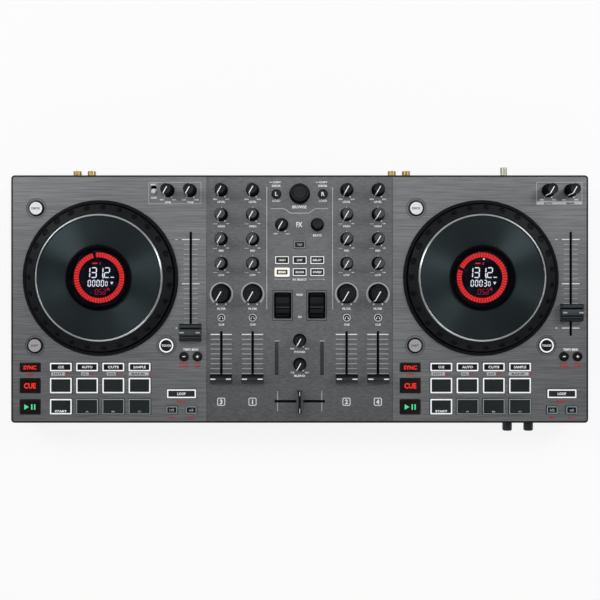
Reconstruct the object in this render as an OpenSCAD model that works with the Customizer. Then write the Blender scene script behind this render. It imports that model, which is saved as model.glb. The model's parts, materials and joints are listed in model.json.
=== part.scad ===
// DJ controller: two decks with jog wheels either side of a four-channel mixer.
// Millimetres. The origin is on the table under the middle of the case,
// X to the right, Y away from the player, Z up. The case is as wide, deep and
// high as what it holds: a deck's controls are placed from the edges of its face
// plate, the mixer's from the rear rim, and the heights are stacked up from the feet.

/* [Case] */
// Radius of the case's upright corners
corner_r = 3.5; // [2:0.5:6]
// Thickness of the case walls
wall_t = 2.6; // [2:0.1:3]
// Width of the black rim that shows around the face plates
rim_w = 1.5; // [1:0.1:1.8]
// Height of the tray, from its floor to the seam
tray_h = 7.5; // [7:0.1:8]
// Thickness of the tray's floor
floor_t = 2.5; // [2:0.1:3]
// Width and height of the slope round the tray's lower edge
tray_slope = 5; // [2:0.5:5.5]
// Thickness of the ledge and the cross rails under the face plates
ledge_t = 3; // [2:0.1:4]
// How far the ledge reaches in from the rim
ledge_w = 2.5; // [2:0.1:3]
// Width of a cross rail
rail_w = 6; // [5:0.5:7]
// Height of a rubber foot
foot_h = 4.5; // [3:0.1:6]
// Radius of a rubber foot
foot_r = 9; // [6:0.5:12]
// How far a foot's centre is from the case's sides, and from its front or rear
foot_inset = [36, 24]; // [20:1:60]
// How far a case screw's centre is from the case's sides
screw_inset = 10; // [9:0.5:12]
// How far the outer rail screws are from the case's front and rear
rail_screw_inset = 40; // [34:1:60]
// Radius of the columns that the case screws bite into
column_r = 4; // [3.5:0.1:4.5]

/* [Face plates] */
// Thickness of the face plates
plate_t = 2; // [1.6:0.1:2.5]
// Gap round each face plate
plate_gap = 0.15; // [0.1:0.05:0.3]
// Depth of the dish round each round button
dish_depth = 0.5; // [0.2:0.1:1]
// Radius of that dish
dish_r = 9.9; // [9:0.1:11]

/* [Jog wheels] */
// Radius of the turning wheel
jog_r = 73.3; // [62:0.1:84]
// Width of the bezel's flange outside its cup
bezel_w = 2.2; // [1.6:0.1:4]
// Height of the bezel's flange above the plate
bezel_h = 2.3; // [1.5:0.1:3]
// Width of the grip band, from the bright ring out to the wheel's edge
grip_w = 8.8; // [7:0.1:12]
// Width of the bright ring
ring_w = 1.5; // [1:0.1:2.5]
// Height of the bright ring above the plate
jog_rise = 10; // [8:0.5:12]
// How far the grip band drops from the ring to the wheel's edge
grip_drop = 5; // [3:0.5:6]
// Number of finger dimples round the grip band
dimple_count = 27; // [18:1:32]
// Radius of the ball that shapes a dimple
dimple_ball_r = 4.5; // [3:0.1:5.5]
// Depth of a dimple
dimple_depth = 0.8; // [0.4:0.1:1.2]
// Radius of the fixed hub that holds the display
hub_r = 33; // [28:0.5:38]
// Height of the hub's window above the plate
hub_rise = 12; // [11:0.5:14]
// Wall of the hub's tube
hub_wall = 2.5; // [2:0.1:3]
// Thickness of the hub's window
window_t = 2; // [1.5:0.1:3]
// Height of the display module
display_t = 4.5; // [3:0.1:5]
// Width of the bearing's section
bearing_w = 3.35; // [3:0.05:4]
// Height of the bearing
bearing_h = 4; // [3:0.5:5]

/* [Deck layout] */
// Bare plate left of the jog wheel's bezel
jog_margin = 10.3; // [8:0.1:20]
// Gap between the mode keys and the bezel
jog_gap = 6.95; // [6:0.05:14]
// Plate behind the bezel
rear_band = 23.45; // [18:0.05:40]
// Gap between the bezel and the tempo fader's cap
tempo_gap = 1.5; // [1:0.1:6]
// Bare plate right of the tempo fader's cap
tempo_margin = 5.1; // [3:0.1:12]
// How far the tempo slot's middle is in front of the jog wheel's
tempo_drop = 5.8; // [3:0.1:9]
// Travel of the tempo fader
tempo_travel = 97.4; // [80:0.2:106]
// How far the right cap rests above its low stop
right_tempo_up = 19.8; // [0:0.1:78]
// How far the pitch-bend buttons are in front of the tempo fader's low stop
bend_drop = 24.05; // [20:0.05:28]
// Distance between the pitch-bend buttons
bend_pitch = 13.5; // [12:0.1:15]
// Diameter of a small round button
small_key_d = 9.2; // [8:0.1:10]
// Diameter of the round LAYER, SHIFT and SCRATCH buttons
round_key_d = 14.4; // [12:0.1:16]
// Gap between the bezel and the LAYER button's dish
layer_gap = 7.3; // [3:0.1:9]
// Direction of the LAYER button from the jog wheel's middle
layer_angle = 132.8; // [126:0.1:140]
// Gap between the bezel and the dishes of the SHIFT and SCRATCH buttons
corner_gap = 6.6; // [3:0.1:7]
// How far the SHIFT and SCRATCH buttons are turned to the front from the wheel's sides
corner_angle = 45.8; // [42:0.1:48]
// Bare plate left of the transport keys
transport_margin = 7.45; // [4:0.05:14]
// Width of a transport key
transport_w = 20.1; // [17:0.1:24]
// Depth of the SYNC, CUE and PLAY keys
transport_d = [8.7, 14.5, 14.5]; // [7:0.1:16]
// Gap between SYNC and CUE, and between CUE and PLAY
transport_gap = [6.6, 6.75]; // [4:0.05:8]
// Bare plate in front of the PLAY key
play_margin = 7.2; // [4:0.05:9]
// Gap between the transport keys and the pads
transport_side = 9.9; // [4:0.1:16]
// Width of a mode key or a pad
pad_w = 22; // [18:0.1:26]
// Gap between pads, across and along the deck
pad_gap = [4.2, 5.45]; // [3:0.05:8]
// Depth of a pad
pad_d = 15.6; // [13:0.1:19]
// Bare plate in front of the pads
pad_margin = 7; // [4:0.05:12]
// Gap between the pads and the mode keys
mode_gap = 6.35; // [4:0.05:10]
// Depth of a mode key
mode_d = 8.7; // [7:0.1:11]
// Smallest gap between the pads and the LOOP key
loop_side = 16.35; // [8:0.05:24]
// Size of the LOOP key
loop_size = [29.1, 8.9]; // [8:0.1:32]
// Bare plate right of the LOOP key
loop_margin = 10.5; // [6:0.1:16]
// Gap between the LOOP key and the halving and doubling keys
loop_gap = 8.1; // [5:0.1:10]
// Bare plate in front of the halving and doubling keys
half_margin = 7.65; // [5:0.05:10]
// Distance between those two keys
half_pitch = 19.4; // [15:0.1:22]
// Size of those two keys
half_size = [10.9, 7.5]; // [6.5:0.1:12]
// How far the rear knobs are from the rear rim
rear_knob_in = 13.85; // [12:0.05:16]
// How far the outer rear knob is from the plate's right edge
rear_knob_side = 16.35; // [12:0.05:20]
// Distance between the rear knobs
rear_knob_pitch = 22.2; // [18:0.1:25]
// How far the microphone switch is from the plate's right edge and the rear rim
mic_slot_in = [52.8, 13.1]; // [11:0.05:58]
// Length and width of that switch's slot
mic_slot_size = [9.2, 6]; // [5:0.1:10]
// Travel of the microphone switch
mic_travel = 3.2; // [2:0.1:3.4]

/* [Mixer layout] */
// Distance of the inner channels from the middle
channel_inner_x = 47; // [42:0.1:54]
// Distance between a side's two channels
channel_pitch = 31.3; // [28:0.1:36]
// Distance from an outer channel to the plate's side
mixer_side = 14.7; // [13:0.1:20]
// How far the level knobs are from the rear rim
level_in = 13.4; // [12:0.05:16]
// Distance between the rows of channel knobs
eq_pitch = 24.4; // [21:0.1:28]
// Distance from the bass knobs to the filter knobs
filter_drop = 30.3; // [26:0.1:34]
// Distance from the filter knobs to the channels' cue buttons
cue_drop = 23.9; // [20:0.1:28]
// Diameter of a channel's cue button
cue_key_d = 7.6; // [6.6:0.1:9]
// Distance from the cue buttons to the faders' high stop
fader_drop = 16.85; // [15:0.05:20]
// Travel of a channel fader or the crossfader
fader_travel = 44; // [38:0.5:50]
// Distance from the faders' low stop to the crossfader
cross_drop = 22.85; // [20:0.05:28]
// Distance from the crossfader to the front rim
cross_margin = 20; // [17:0.1:26]
// How far the browse knob is from the rear rim
browse_in = 17.15; // [14:0.05:20]
// Distance of a load button from the middle
load_x = 23.25; // [20:0.05:27]
// Distance from the browse knob to the effect depth and beats knobs
depth_drop = 30.75; // [26:0.05:34]
// Distances of the effect depth and beats knobs from the middle
depth_x = [18, 17.6]; // [14:0.1:22]
// Distance from those knobs to the TAP key
tap_drop = 20; // [16:0.1:22]
// Size of the TAP key
tap_size = [11.5, 7.6]; // [6.8:0.1:13]
// Distance from the TAP key to the effect keys
effect_drop = 15.4; // [13:0.1:17]
// Distance between the effect keys, across and along the mixer
effect_pitch = [17.6, 12]; // [11:0.1:20]
// Size of an effect key
effect_size = [14, 8]; // [7:0.1:14.5]
// Distance of a paddle from the middle
paddle_x = 17; // [15:0.1:19]
// Distance from the effect keys to the paddles
paddle_fall = 33.4; // [28:0.1:37]
// Distance from the paddles to the cue gain knob
gain_fall = 34.7; // [30:0.1:38]
// Distance between the cue gain and cue mix knobs
cue_knob_pitch = 23.9; // [21:0.1:26]
// Distance of a level meter from the middle
meter_x = 22.65; // [20:0.05:25]
// How far the meters' middle is in front of the faders'
meter_fall = 1.8; // [0:0.1:4]
// Size of a level meter's window
meter_size = [4.3, 34.1]; // [3:0.1:38]

/* [Knobs] */
// Height of a knob above the plate
knob_h = 18; // [15:0.5:20]
// Radius of a small knob's skirt
knob_r = 6.5; // [6:0.1:7]
// Radius of a small knob's top
knob_top_r = 4.5; // [4:0.1:5]
// Radius of a filter knob's skirt
filter_r = 9.7; // [9:0.1:10.2]
// Radius of a filter knob's top
filter_top_r = 6.4; // [6:0.1:7]
// Radius of the browse knob
browse_r = 10.2; // [9:0.1:11]
// Height of the browse knob above the plate
browse_h = 15; // [12:0.5:18]
// Radius of the knobs' shafts
shaft_r = 3; // [2.5:0.1:3.2]
// Number of grip grooves round a knob
groove_count = 12; // [8:1:18]
// Radius of the front knobs
front_knob_r = 4.85; // [4:0.05:6]
// How far the front knobs are from the right deck's right edge
front_knob_side = [74.4, 52.8]; // [49:0.1:77]
// How far the front knobs and the ground terminal stand out
overhang = 10.8; // [8:0.1:12]

/* [Faders and paddles] */
// Width of a fader's slot in the plate
slot_w = 1.8; // [1.6:0.1:2.2]
// Height of the fader caps above the plate
cap_h = 9; // [7:0.5:11]
// Width of a fader cap
cap_w = 21.7; // [18:0.1:22]
// Length of a tempo fader's cap
tempo_cap_l = 17.5; // [14:0.1:18]
// Length of a channel fader's cap
fader_cap_l = 8.6; // [7:0.1:9]
// Width of a fader's stem across the slot
stem_w = 1; // [0.8:0.05:1.2]
// Length of a fader's stem along the slot
stem_l = 5; // [4:0.1:6]
// Radius of a paddle's drum about its pin
paddle_r = 14.3; // [12.8:0.1:15.8]
// Width of a paddle
paddle_w = 16.9; // [15:0.1:18]
// How far a paddle's pin is below the plate's top
paddle_drop = 6; // [5.5:0.1:6.5]
// Height of a paddle above the plate
paddle_rise = 3.6; // [2.5:0.1:4.5]
// Radius of a paddle's pin
pin_r = 1.5; // [1:0.1:1.8]

/* [Keys] */
// How far the keys stand above the plate
key_rise = 1.2; // [1.1:0.1:2]
// How far a key goes down
key_travel = 1; // [0.6:0.1:1.1]
// Radius of a key's corners
key_r = 0.9; // [0.5:0.1:1.5]
// Width of the flange that keeps a key in
flange_w = 1; // [0.6:0.1:1.1]
// Thickness of that flange
flange_t = 1.2; // [0.8:0.1:1.5]
// Side of a key switch
switch_side = 6; // [5:0.1:6]
// Height of a key switch's body
switch_h = 4; // [3:0.1:4.2]

/* [Boards and pots] */
// Thickness of a circuit board
board_t = 1.6; // [1.2:0.1:2]
// Height of a pot or a fader body
pot_h = 9; // [8:0.1:9.4]
// Side of a pot
pot_side = 10; // [9:0.1:11]
// Radius of the posts under the boards
post_r = 3; // [2.5:0.1:4]
// Height of the rear board above the tray's floor
rear_board_rise = 4; // [3.4:0.1:5]
// Gap between the sockets and the control boards over them
socket_headroom = 1.4; // [1:0.1:4]
// Gap between the pots and the face plates
pot_gap = 1.4; // [1:0.1:3]
// Radius of a screw's thread
screw_r = 1.35; // [1.2:0.05:1.5]

/* [Sockets] */
// Height of the sockets' axis above their board
socket_rise = 7; // [6.3:0.1:8]
// How far the first phono socket is from the case's left side
phono_side = 60.8; // [54:0.1:68]
// How far the third phono socket is from the mixer's right edge
phono_seam = 1.3; // [0:0.1:8]
// Distance between the two phono sockets of a pair
phono_pitch = 14.65; // [13:0.05:17]
// Radius of a phono socket's barrel
phono_r = 4.15; // [4:0.05:4.2]
// How far a phono barrel stands out
phono_out = 7; // [6:0.1:8]
// Radius of the large jack sockets' bore
jack_r = 3.25; // [3.2:0.01:3.3]
// Depth of the large jack sockets' bore
jack_depth = 16; // [14:0.5:17]
// Radius of the small jack socket's bore
mini_r = 1.85; // [1.8:0.01:1.9]
// Depth of the small jack socket's bore
mini_depth = 13; // [12:0.5:14]
// How far the microphone socket is from the case's left side
mic_jack_side = 123.5; // [110:0.5:136]
// Column of the USB socket
usb_x = 30; // [0:1:60]
// How far the ground terminal is from the case's right side
ground_side = 79.5; // [72:0.5:88]
// How far the headphone sockets are from the right deck's right edge
phones_side = [35, 20]; // [18:0.5:38]
// How far the rear bracket's screws are from the case's right side
bracket_side = [135.4, 105.4]; // [100:0.1:140]

/* [Hidden] */
channels = [1, 2, 3, 4];
eq_names = ["level", "treble", "mid", "bass"];
sides = ["left", "right"];

$fn = 48;
tiny = 0.01;
clear = 0.4;                 // gap between a moving piece and what it passes through
fit = 0.2;                   // gap round a shaft inside its pot
running = 0.1;               // gap between the bearing and the jog wheel's sleeve
pilot = 0.05;                // gap between a screw's thread and its pilot hole

// Heights, from the feet up: tray, rear board, sockets, control boards, pots, plates
floor_z = foot_h + floor_t;
split_z = foot_h + tray_h;
rear_board_z = floor_z + rear_board_rise;
rear_board_top = rear_board_z + board_t;
socket_z = rear_board_top + socket_rise;
board_z = rear_board_top + 2 * socket_rise + socket_headroom;
board_top = board_z + board_t;
plate_z = board_top + pot_h + pot_gap;
face_z = plate_z + plate_t;

// Jog wheel heights and radii
cup_gap = 1;
cup_wall = 1.2;
cup_floor_t = 2;
cup_z = board_top + 1.4;
cup_r = jog_r + cup_gap + cup_wall;
bezel_r = cup_r + bezel_w;
jog_top = face_z + jog_rise;
hub_top = face_z + hub_rise;
hub_gap = 0.6;
shelf_w = 4.5;
bearing_z = face_z - 4;
bearing_r = hub_r + bearing_w;
sleeve_w = 2.5;
disc_t = 3.2;
dish = 0.8;                  // how far the wheel's top lies below its bright ring
ring_r = jog_r - grip_w;
grip_r = ring_r + 2.5;
grip_end_r = jog_r - 1.3;
edge_drop = 1.5;
skin_t = 2.2;
skirt_z = face_z - 1.5;
grip_angle = atan2(grip_drop - 1, grip_end_r - grip_r);
grip_mid = [(grip_r + grip_end_r) / 2, jog_top - (grip_drop + 1) / 2];
ball_out = dimple_ball_r - dimple_depth;

// A deck is as wide as the wider of its two rows, and the case as deep as the
// deeper of a deck and the mixer
jog_row_w = jog_margin + 2 * bezel_r + tempo_gap + cap_w + tempo_margin;
key_row_w = transport_margin + transport_w + transport_side + 4 * pad_w + 3 * pad_gap[0]
    + loop_side + loop_size[0] + loop_margin;
deck_w = max(jog_row_w, key_row_w);
mixer_w = 2 * (channel_inner_x + channel_pitch + mixer_side);
deck_rows_d = pad_margin + 2 * pad_d + pad_gap[1] + mode_gap + mode_d + jog_gap
    + 2 * bezel_r + rear_band;
mixer_rows_d = level_in + 3 * eq_pitch + filter_drop + cue_drop + fader_drop + fader_travel
    + cross_drop + cross_margin;
plate_d = max(deck_rows_d, mixer_rows_d);
case_w = mixer_w + 2 * (deck_w + rim_w);
case_d = plate_d + 2 * rim_w;
inner_d = case_d / 2 - wall_t;
left_x = -deck_w / 2;
right_x = deck_w / 2;
front_y = -plate_d / 2;
rear_y = plate_d / 2;

// Rows and columns of a deck, from the middle of its plate
pad_x = left_x + transport_margin + transport_w + transport_side + pad_w / 2;
pad_pitch = pad_w + pad_gap[0];
front_pad_y = front_y + pad_margin + pad_d / 2;
pad_y = [front_pad_y + pad_d + pad_gap[1], front_pad_y];
mode_y = pad_y[0] + (pad_d + mode_d) / 2 + mode_gap;
jog_at = [left_x + jog_margin + bezel_r, mode_y + mode_d / 2 + jog_gap + bezel_r];
tempo_at = [right_x - tempo_margin - cap_w / 2, jog_at[1] - tempo_drop];
bend_y = tempo_at[1] - tempo_travel / 2 - bend_drop;
transport_x = left_x + transport_margin + transport_w / 2;
play_y = front_y + play_margin + transport_d[2] / 2;
cue_key_y = play_y + (transport_d[2] + transport_d[1]) / 2 + transport_gap[1];
sync_y = cue_key_y + (transport_d[1] + transport_d[0]) / 2 + transport_gap[0];
transport_y = [sync_y, cue_key_y, play_y];
half_y = front_y + half_margin + half_size[1] / 2;
loop_at = [right_x - loop_margin - loop_size[0] / 2,
    half_y + (half_size[1] + loop_size[1]) / 2 + loop_gap];
rear_knob_y = rear_y - rear_knob_in;
rear_knob_x = [right_x - rear_knob_side - rear_knob_pitch, right_x - rear_knob_side];
mic_slot_at = [right_x - mic_slot_in[0], rear_y - mic_slot_in[1]];
function by_bezel(angle, gap) = jog_at + (bezel_r + gap + dish_r) * [cos(angle), sin(angle)];
layer_at = by_bezel(layer_angle, layer_gap);
shift_at = by_bezel(180 + corner_angle, corner_gap);
scratch_at = by_bezel(-corner_angle, corner_gap);

// Rows and columns of the mixer, from the middle of the case
channel_outer_x = channel_inner_x + channel_pitch;
level_y = rear_y - level_in;
filter_y = level_y - 3 * eq_pitch - filter_drop;
cue_y = filter_y - cue_drop;
fader_y = cue_y - fader_drop - fader_travel / 2;
cross_y = fader_y - fader_travel / 2 - cross_drop;
browse_y = rear_y - browse_in;
depth_at = [-depth_x[0], browse_y - depth_drop];
beats_at = [depth_x[1], browse_y - depth_drop];
tap_y = depth_at[1] - tap_drop;
effect_y = [tap_y - effect_drop, tap_y - effect_drop - effect_pitch[1]];
paddle_y = effect_y[1] - paddle_fall;
cue_knob_y = [paddle_y - gain_fall, paddle_y - gain_fall - cue_knob_pitch];
meter_y = fader_y - meter_fall;

function deck_x(side) = (side == "left" ? -1 : 1) * (mixer_w + deck_w) / 2;
function jog_x(side) = deck_x(side) + jog_at[0];
function channel_x(c) = (c % 2 == 1 ? -1 : 1) * (c > 2 ? channel_outer_x : channel_inner_x);
function eq_y(i) = level_y - i * eq_pitch;

// Keys: [x, y, width, depth], a depth of 0 means a round one
flange_z = plate_z - 0.3 - flange_t;
switch_top = board_top + switch_h + 1;
stem_z = switch_top + key_travel + clear;
deck_round_keys = [for (at = [layer_at, shift_at, scratch_at]) [at[0], at[1], round_key_d, 0]];
deck_keys = concat(
    deck_round_keys,
    [for (s = [-1, 1]) [tempo_at[0] + s * bend_pitch / 2, bend_y, small_key_d, 0]],
    [for (i = [0:2]) [transport_x, transport_y[i], transport_w, transport_d[i]]],
    [for (i = [0:3]) [pad_x + i * pad_pitch, mode_y, pad_w, mode_d]],
    [[loop_at[0], loop_at[1], loop_size[0], loop_size[1]]],
    [for (s = [-1, 1]) [loop_at[0] + s * half_pitch / 2, half_y, half_size[0], half_size[1]]]
);
deck_pads = [for (y = pad_y) for (i = [0:3]) [pad_x + i * pad_pitch, y, pad_w, pad_d]];
mixer_keys = concat(
    [for (c = channels) [channel_x(c), cue_y, cue_key_d, 0]],
    [for (s = [-1, 1]) [s * load_x, browse_y, small_key_d, 0]],
    [[0, tap_y, tap_size[0], tap_size[1]]],
    [for (y = effect_y) for (i = [-1:1])
        [i * effect_pitch[0], y, effect_size[0], effect_size[1]]]
);

// Pots
knob_gap = 0.6;              // gap between a knob's skirt and the plate
skirt_h = 2.4;
rest_angle = 240;            // where a knob's pointer stands at its low stop
shaft_z = board_top + 1;
mixer_pots = concat(
    [for (c = channels) for (i = [0:3]) [channel_x(c), eq_y(i)]],
    [for (c = channels) [channel_x(c), filter_y]],
    [depth_at, beats_at, [0, browse_y]],
    [for (y = cue_knob_y) [0, y]]
);
deck_pots = [for (x = rear_knob_x) [x, rear_knob_y]];

// Faders
fader_end = 4;
fader_body_w = 9;
foot_w = 4;
foot_t = 3;
foot_l = stem_l + 3;
channel_w = foot_w + 2 * clear;
fader_floor = 1.5;
carriage_z = board_top + fader_floor + clear;
tempo_slot_l = tempo_travel + stem_l + 2 * clear;
fader_slot_l = fader_travel + stem_l + 2 * clear;
fader_foot_extra = (foot_l - stem_l) / 2;
fader_rest = -fader_travel / 2;
left_tempo_rest = -tempo_travel / 2;
right_tempo_rest = left_tempo_rest + right_tempo_up;

// Microphone switch's body: width, depth and height
mic_body = [8, 13, 5];

// Paddles
paddle_hole = [paddle_w + 1.2, 2 * (paddle_r - 0.2)];
paddle_frame = paddle_hole + [2.3, 2.4];
paddle_z = face_z - paddle_drop;
ear_t = 2.2;
ear_gap = 0.5;
ear_r = 2.5;

// Boards, and the posts under them where no pot, fader or switch is in the way
board_edge = 5.5;            // distance of the boards' edges from the rails' middles and walls
tempo_body_end = tempo_at[1] + tempo_slot_l / 2 + fader_foot_extra + fader_end;
deck_post_at = [
    for (x = [transport_x, tempo_at[0]]) [x, (sync_y + cue_key_y) / 2],
    [transport_x, layer_at[1] - 9],
    [tempo_at[0], (tempo_body_end + rear_knob_y - pot_side / 2) / 2]
];
mixer_post_x = (channel_outer_x + channel_inner_x) / 2;
mixer_post_y = [eq_y(1), cross_y + 8];
socket_board_d = 20;
socket_board_gap = 2;
socket_board_past = 13;      // how far those boards reach past their outer sockets or pots
socket_post_in = 4;          // distance of their posts from their inner edge
socket_post_y = inner_d - socket_board_gap - socket_board_d + socket_post_in;

// Sockets' columns, from the case's sides, the mixer's edge and the right deck's middle
phono_x = [phono_side - case_w / 2, phono_side + phono_pitch - case_w / 2,
    mixer_w / 2 + phono_seam, mixer_w / 2 + phono_seam + phono_pitch];
mic_jack_x = mic_jack_side - case_w / 2;
ground_x = case_w / 2 - ground_side;
bracket_x = [for (side = bracket_side) case_w / 2 - side];
phones_x = [for (side = phones_side) right_x - side];
front_knob_x = [for (side = front_knob_side) right_x - side];
rear_board_x = [phono_x[0] - socket_board_past, ground_x + socket_board_past];
rear_post_x = [(phono_x[1] + mic_jack_x) / 2, (mic_jack_x + usb_x) / 2,
    (phono_x[3] + bracket_x[0]) / 2];
front_board_x = [front_knob_x[0] - socket_board_past, phones_x[1] + post_r + 4];
front_post_x = [front_board_x[0] + post_r, front_board_x[1] - post_r];
usb_size = [12, 10.9];
usb_wall = 0.5;
usb_depth = 16;
ground_r = 1.9;
ground_nut_r = 3.4;
phono_contact_r = 1.65;
bracket_t = 1.5;
bracket_h = 12;
bracket_foot = 9;

// Case screws: four near the corners, three along each cross rail
corner_screws = [for (x = [-1, 1]) for (y = [-1, 1])
    [x * (case_w / 2 - screw_inset), y * (case_d / 2 - screw_inset)]];
rail_screws = [for (x = [-1, 1]) for (y = [-1:1])
    [x * mixer_w / 2, y * (case_d / 2 - rail_screw_inset)]];
column_z = floor_z + 0.2;
corner_column_top = board_z - 2;
head_r = 2.8;
head_t = 1.6;
head_sink = 1;               // how deep a case screw's head lies in the tray
bite = 7;
foot_nub_r = 3;
foot_places = [for (x = [-1, 0, 1]) for (y = [-1, 1])
    [x * (case_w / 2 - foot_inset[0]), y * (case_d / 2 - foot_inset[1])]];

// ---------- shapes used by several pieces ----------

module rounded(w, d, r) {
    square([w - 2 * r, d], center = true);
    square([w, d - 2 * r], center = true);
    for (x = [-1, 1], y = [-1, 1])
        translate([x * (w / 2 - r), y * (d / 2 - r)]) circle(r = r);
}

module slab(w, d, r, z0, z1) {
    translate([0, 0, z0]) linear_extrude(z1 - z0) rounded(w, d, r);
}

module at_each(points) {
    for (p = points) translate([p[0], p[1], 0]) children();
}

module rod(r, z0, z1) {
    translate([0, 0, z0]) cylinder(r = r, h = z1 - z0);
}

module block(w, d, z0, z1) {
    translate([-w / 2, -d / 2, z0]) cube([w, d, z1 - z0]);
}

// Turns a shape drawn upwards so that it points out of the rear (1) or front (-1) wall
module from_wall(x, way) {
    translate([x, way * case_d / 2, socket_z]) rotate([-90 * way, 0, 0]) children();
}

// ---------- case ----------

function tray_profile(half, inset, low) =
    let (foot = half - tray_slope - inset * sqrt(2) + (low - foot_h),
         knee = foot_h + tray_slope + inset * (sqrt(2) - 1),
         top = split_z + (inset > 0 ? 1 : 0))
    [[-foot, low], [foot, low], [half - inset, knee], [half - inset, top],
     [inset - half, top], [inset - half, knee]];

module tray_block(inset, low) {
    intersection() {
        slab(case_w - 2 * inset, case_d - 2 * inset, max(corner_r - inset, 0.5), low, split_z + 2);
        rotate([90, 0, 0]) linear_extrude(case_d, center = true)
            polygon(tray_profile(case_w / 2, inset, low));
        rotate([90, 0, 90]) linear_extrude(case_w, center = true)
            polygon(tray_profile(case_d / 2, inset, low));
    }
}

function deck_posts(side) = [for (p = deck_post_at) [deck_x(side) + p[0], p[1]]];
mixer_posts = [for (x = [-1, 1]) for (y = mixer_post_y) [x * mixer_post_x, y]];
control_posts = concat(deck_posts("left"), mixer_posts, deck_posts("right"));
rear_posts = [for (x = rear_post_x) [x, socket_post_y]];
front_posts = [for (x = front_post_x) [deck_x("right") + x, -socket_post_y]];

module post(top) {
    difference() {
        rod(post_r, floor_z - 1, top);
        rod(screw_r + pilot, top - bite, top + 1);
    }
}

module short_post() {
    difference() {
        rod(post_r, floor_z - 1, rear_board_z);
        rod(screw_r + pilot, floor_z - 0.5, rear_board_z + 1);
    }
}

module bottom_case() {
    color("#17181a") {
        difference() {
            tray_block(0, foot_h);
            tray_block(wall_t, floor_z);
            at_each(concat(corner_screws, rail_screws)) {
                rod(screw_r + clear, foot_h - 1, floor_z + 1);
                rod(head_r + clear, foot_h - 1, foot_h + head_sink);
            }
            at_each(foot_places) rod(foot_nub_r, foot_h - 1, floor_z + 1);
        }
        at_each(control_posts) post(board_z);
        at_each(concat(rear_posts, front_posts)) short_post();
    }
}

module wall_holes() {
    for (x = phono_x) from_wall(x, 1) rod(phono_r, -wall_t - 1, 1);
    from_wall(mic_jack_x, 1) rod(nose_r(jack_r) + fit, -wall_t - 1, 1);
    from_wall(usb_x, 1) block(usb_size[0] + 0.6, usb_size[1] + 0.6, -wall_t - 1, 1);
    from_wall(ground_x, 1) rod(ground_r + fit, -wall_t - 1, 1);
    for (x = bracket_x) from_wall(x, 1) rod(screw_r + fit, -wall_t - 1, 1);
    for (x = front_knob_x) from_wall(deck_x("right") + x, -1) rod(shaft_r + clear, -wall_t - 1, 1);
    from_wall(deck_x("right") + phones_x[0], -1) rod(nose_r(jack_r) + fit, -wall_t - 1, 1);
    from_wall(deck_x("right") + phones_x[1], -1) rod(nose_r(mini_r) + fit, -wall_t - 1, 1);
}

module column(z0, z1) {
    rod(column_r, z0, z1);
}

module column_bore() {
    rod(screw_r + pilot, column_z - 1, column_z + bite + 3);
}

module top_case() {
    lip = rim_w + ledge_w;
    color("#131416") difference() {
        union() {
            difference() {
                slab(case_w, case_d, corner_r, split_z, face_z);
                slab(case_w - 2 * wall_t, case_d - 2 * wall_t, max(corner_r - wall_t, 0.5),
                    split_z - 1, plate_z - ledge_t);
                slab(case_w - 2 * lip, case_d - 2 * lip, 0.5, split_z - 1, face_z + 1);
                slab(case_w - 2 * rim_w, case_d - 2 * rim_w, corner_r - rim_w, plate_z, face_z + 1);
            }
            for (x = [-1, 1]) translate([x * mixer_w / 2, 0, 0])
                block(rail_w, case_d - 2 * wall_t + 1, plate_z - ledge_t, plate_z);
            at_each(rail_screws) column(column_z, plate_z - tiny);
            at_each(corner_screws) column(column_z, corner_column_top);
            for (p = corner_screws) translate([sign(p[0]) * (case_w / 2 - screw_inset / 2), p[1], 0])
                block(screw_inset - 1, 2.4, split_z + 1, corner_column_top);
        }
        at_each(concat(corner_screws, rail_screws)) column_bore();
        wall_holes();
    }
}

module rubber_feet() {
    color("#0d0d0e") at_each(foot_places) {
        rotate_extrude() polygon([[0, 0], [foot_r - 1, 0], [foot_r, 1], [foot_r, foot_h],
            [foot_nub_r - pilot, foot_h], [foot_nub_r - pilot, floor_z], [0, floor_z]]);
    }
}

// A screw with its head up; z is the seat under the head
module screw(z, length) {
    rod(screw_r, z - length, z + tiny);
    difference() {
        rod(head_r, z, z + head_t);
        for (a = [0, 90]) rotate(a) block(3.6, 0.7, z + head_t - 0.7, z + head_t + 1);
    }
}

module case_screws() {
    color("#3b3d40") {
        at_each(concat(corner_screws, rail_screws))
            translate([0, 0, foot_h + head_sink]) mirror([0, 0, 1]) screw(0, bite + floor_t);
        at_each(control_posts) screw(board_top, bite - 1);
        at_each(concat(rear_posts, front_posts)) screw(rear_board_top, rear_board_rise + board_t - 1);
        for (x = bracket_x) from_wall(x, 1) screw(0, wall_t + bracket_t + 1);
    }
}

// ---------- face plates ----------

module key_outline(k, grow) {
    translate([k[0], k[1]])
        if (k[3] == 0) circle(r = k[2] / 2 + grow);
        else rounded(k[2] + 2 * grow, k[3] + 2 * grow, key_r);
}

module slot(at, length, turned) {
    translate(at) square(turned ? [length, slot_w] : [slot_w, length], center = true);
}

module key_holes(keys) {
    for (k = keys) key_outline(k, clear);
}

module shaft_holes(pots) {
    for (p = pots) translate([p[0], p[1]]) circle(r = shaft_r + 0.8);
}

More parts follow.
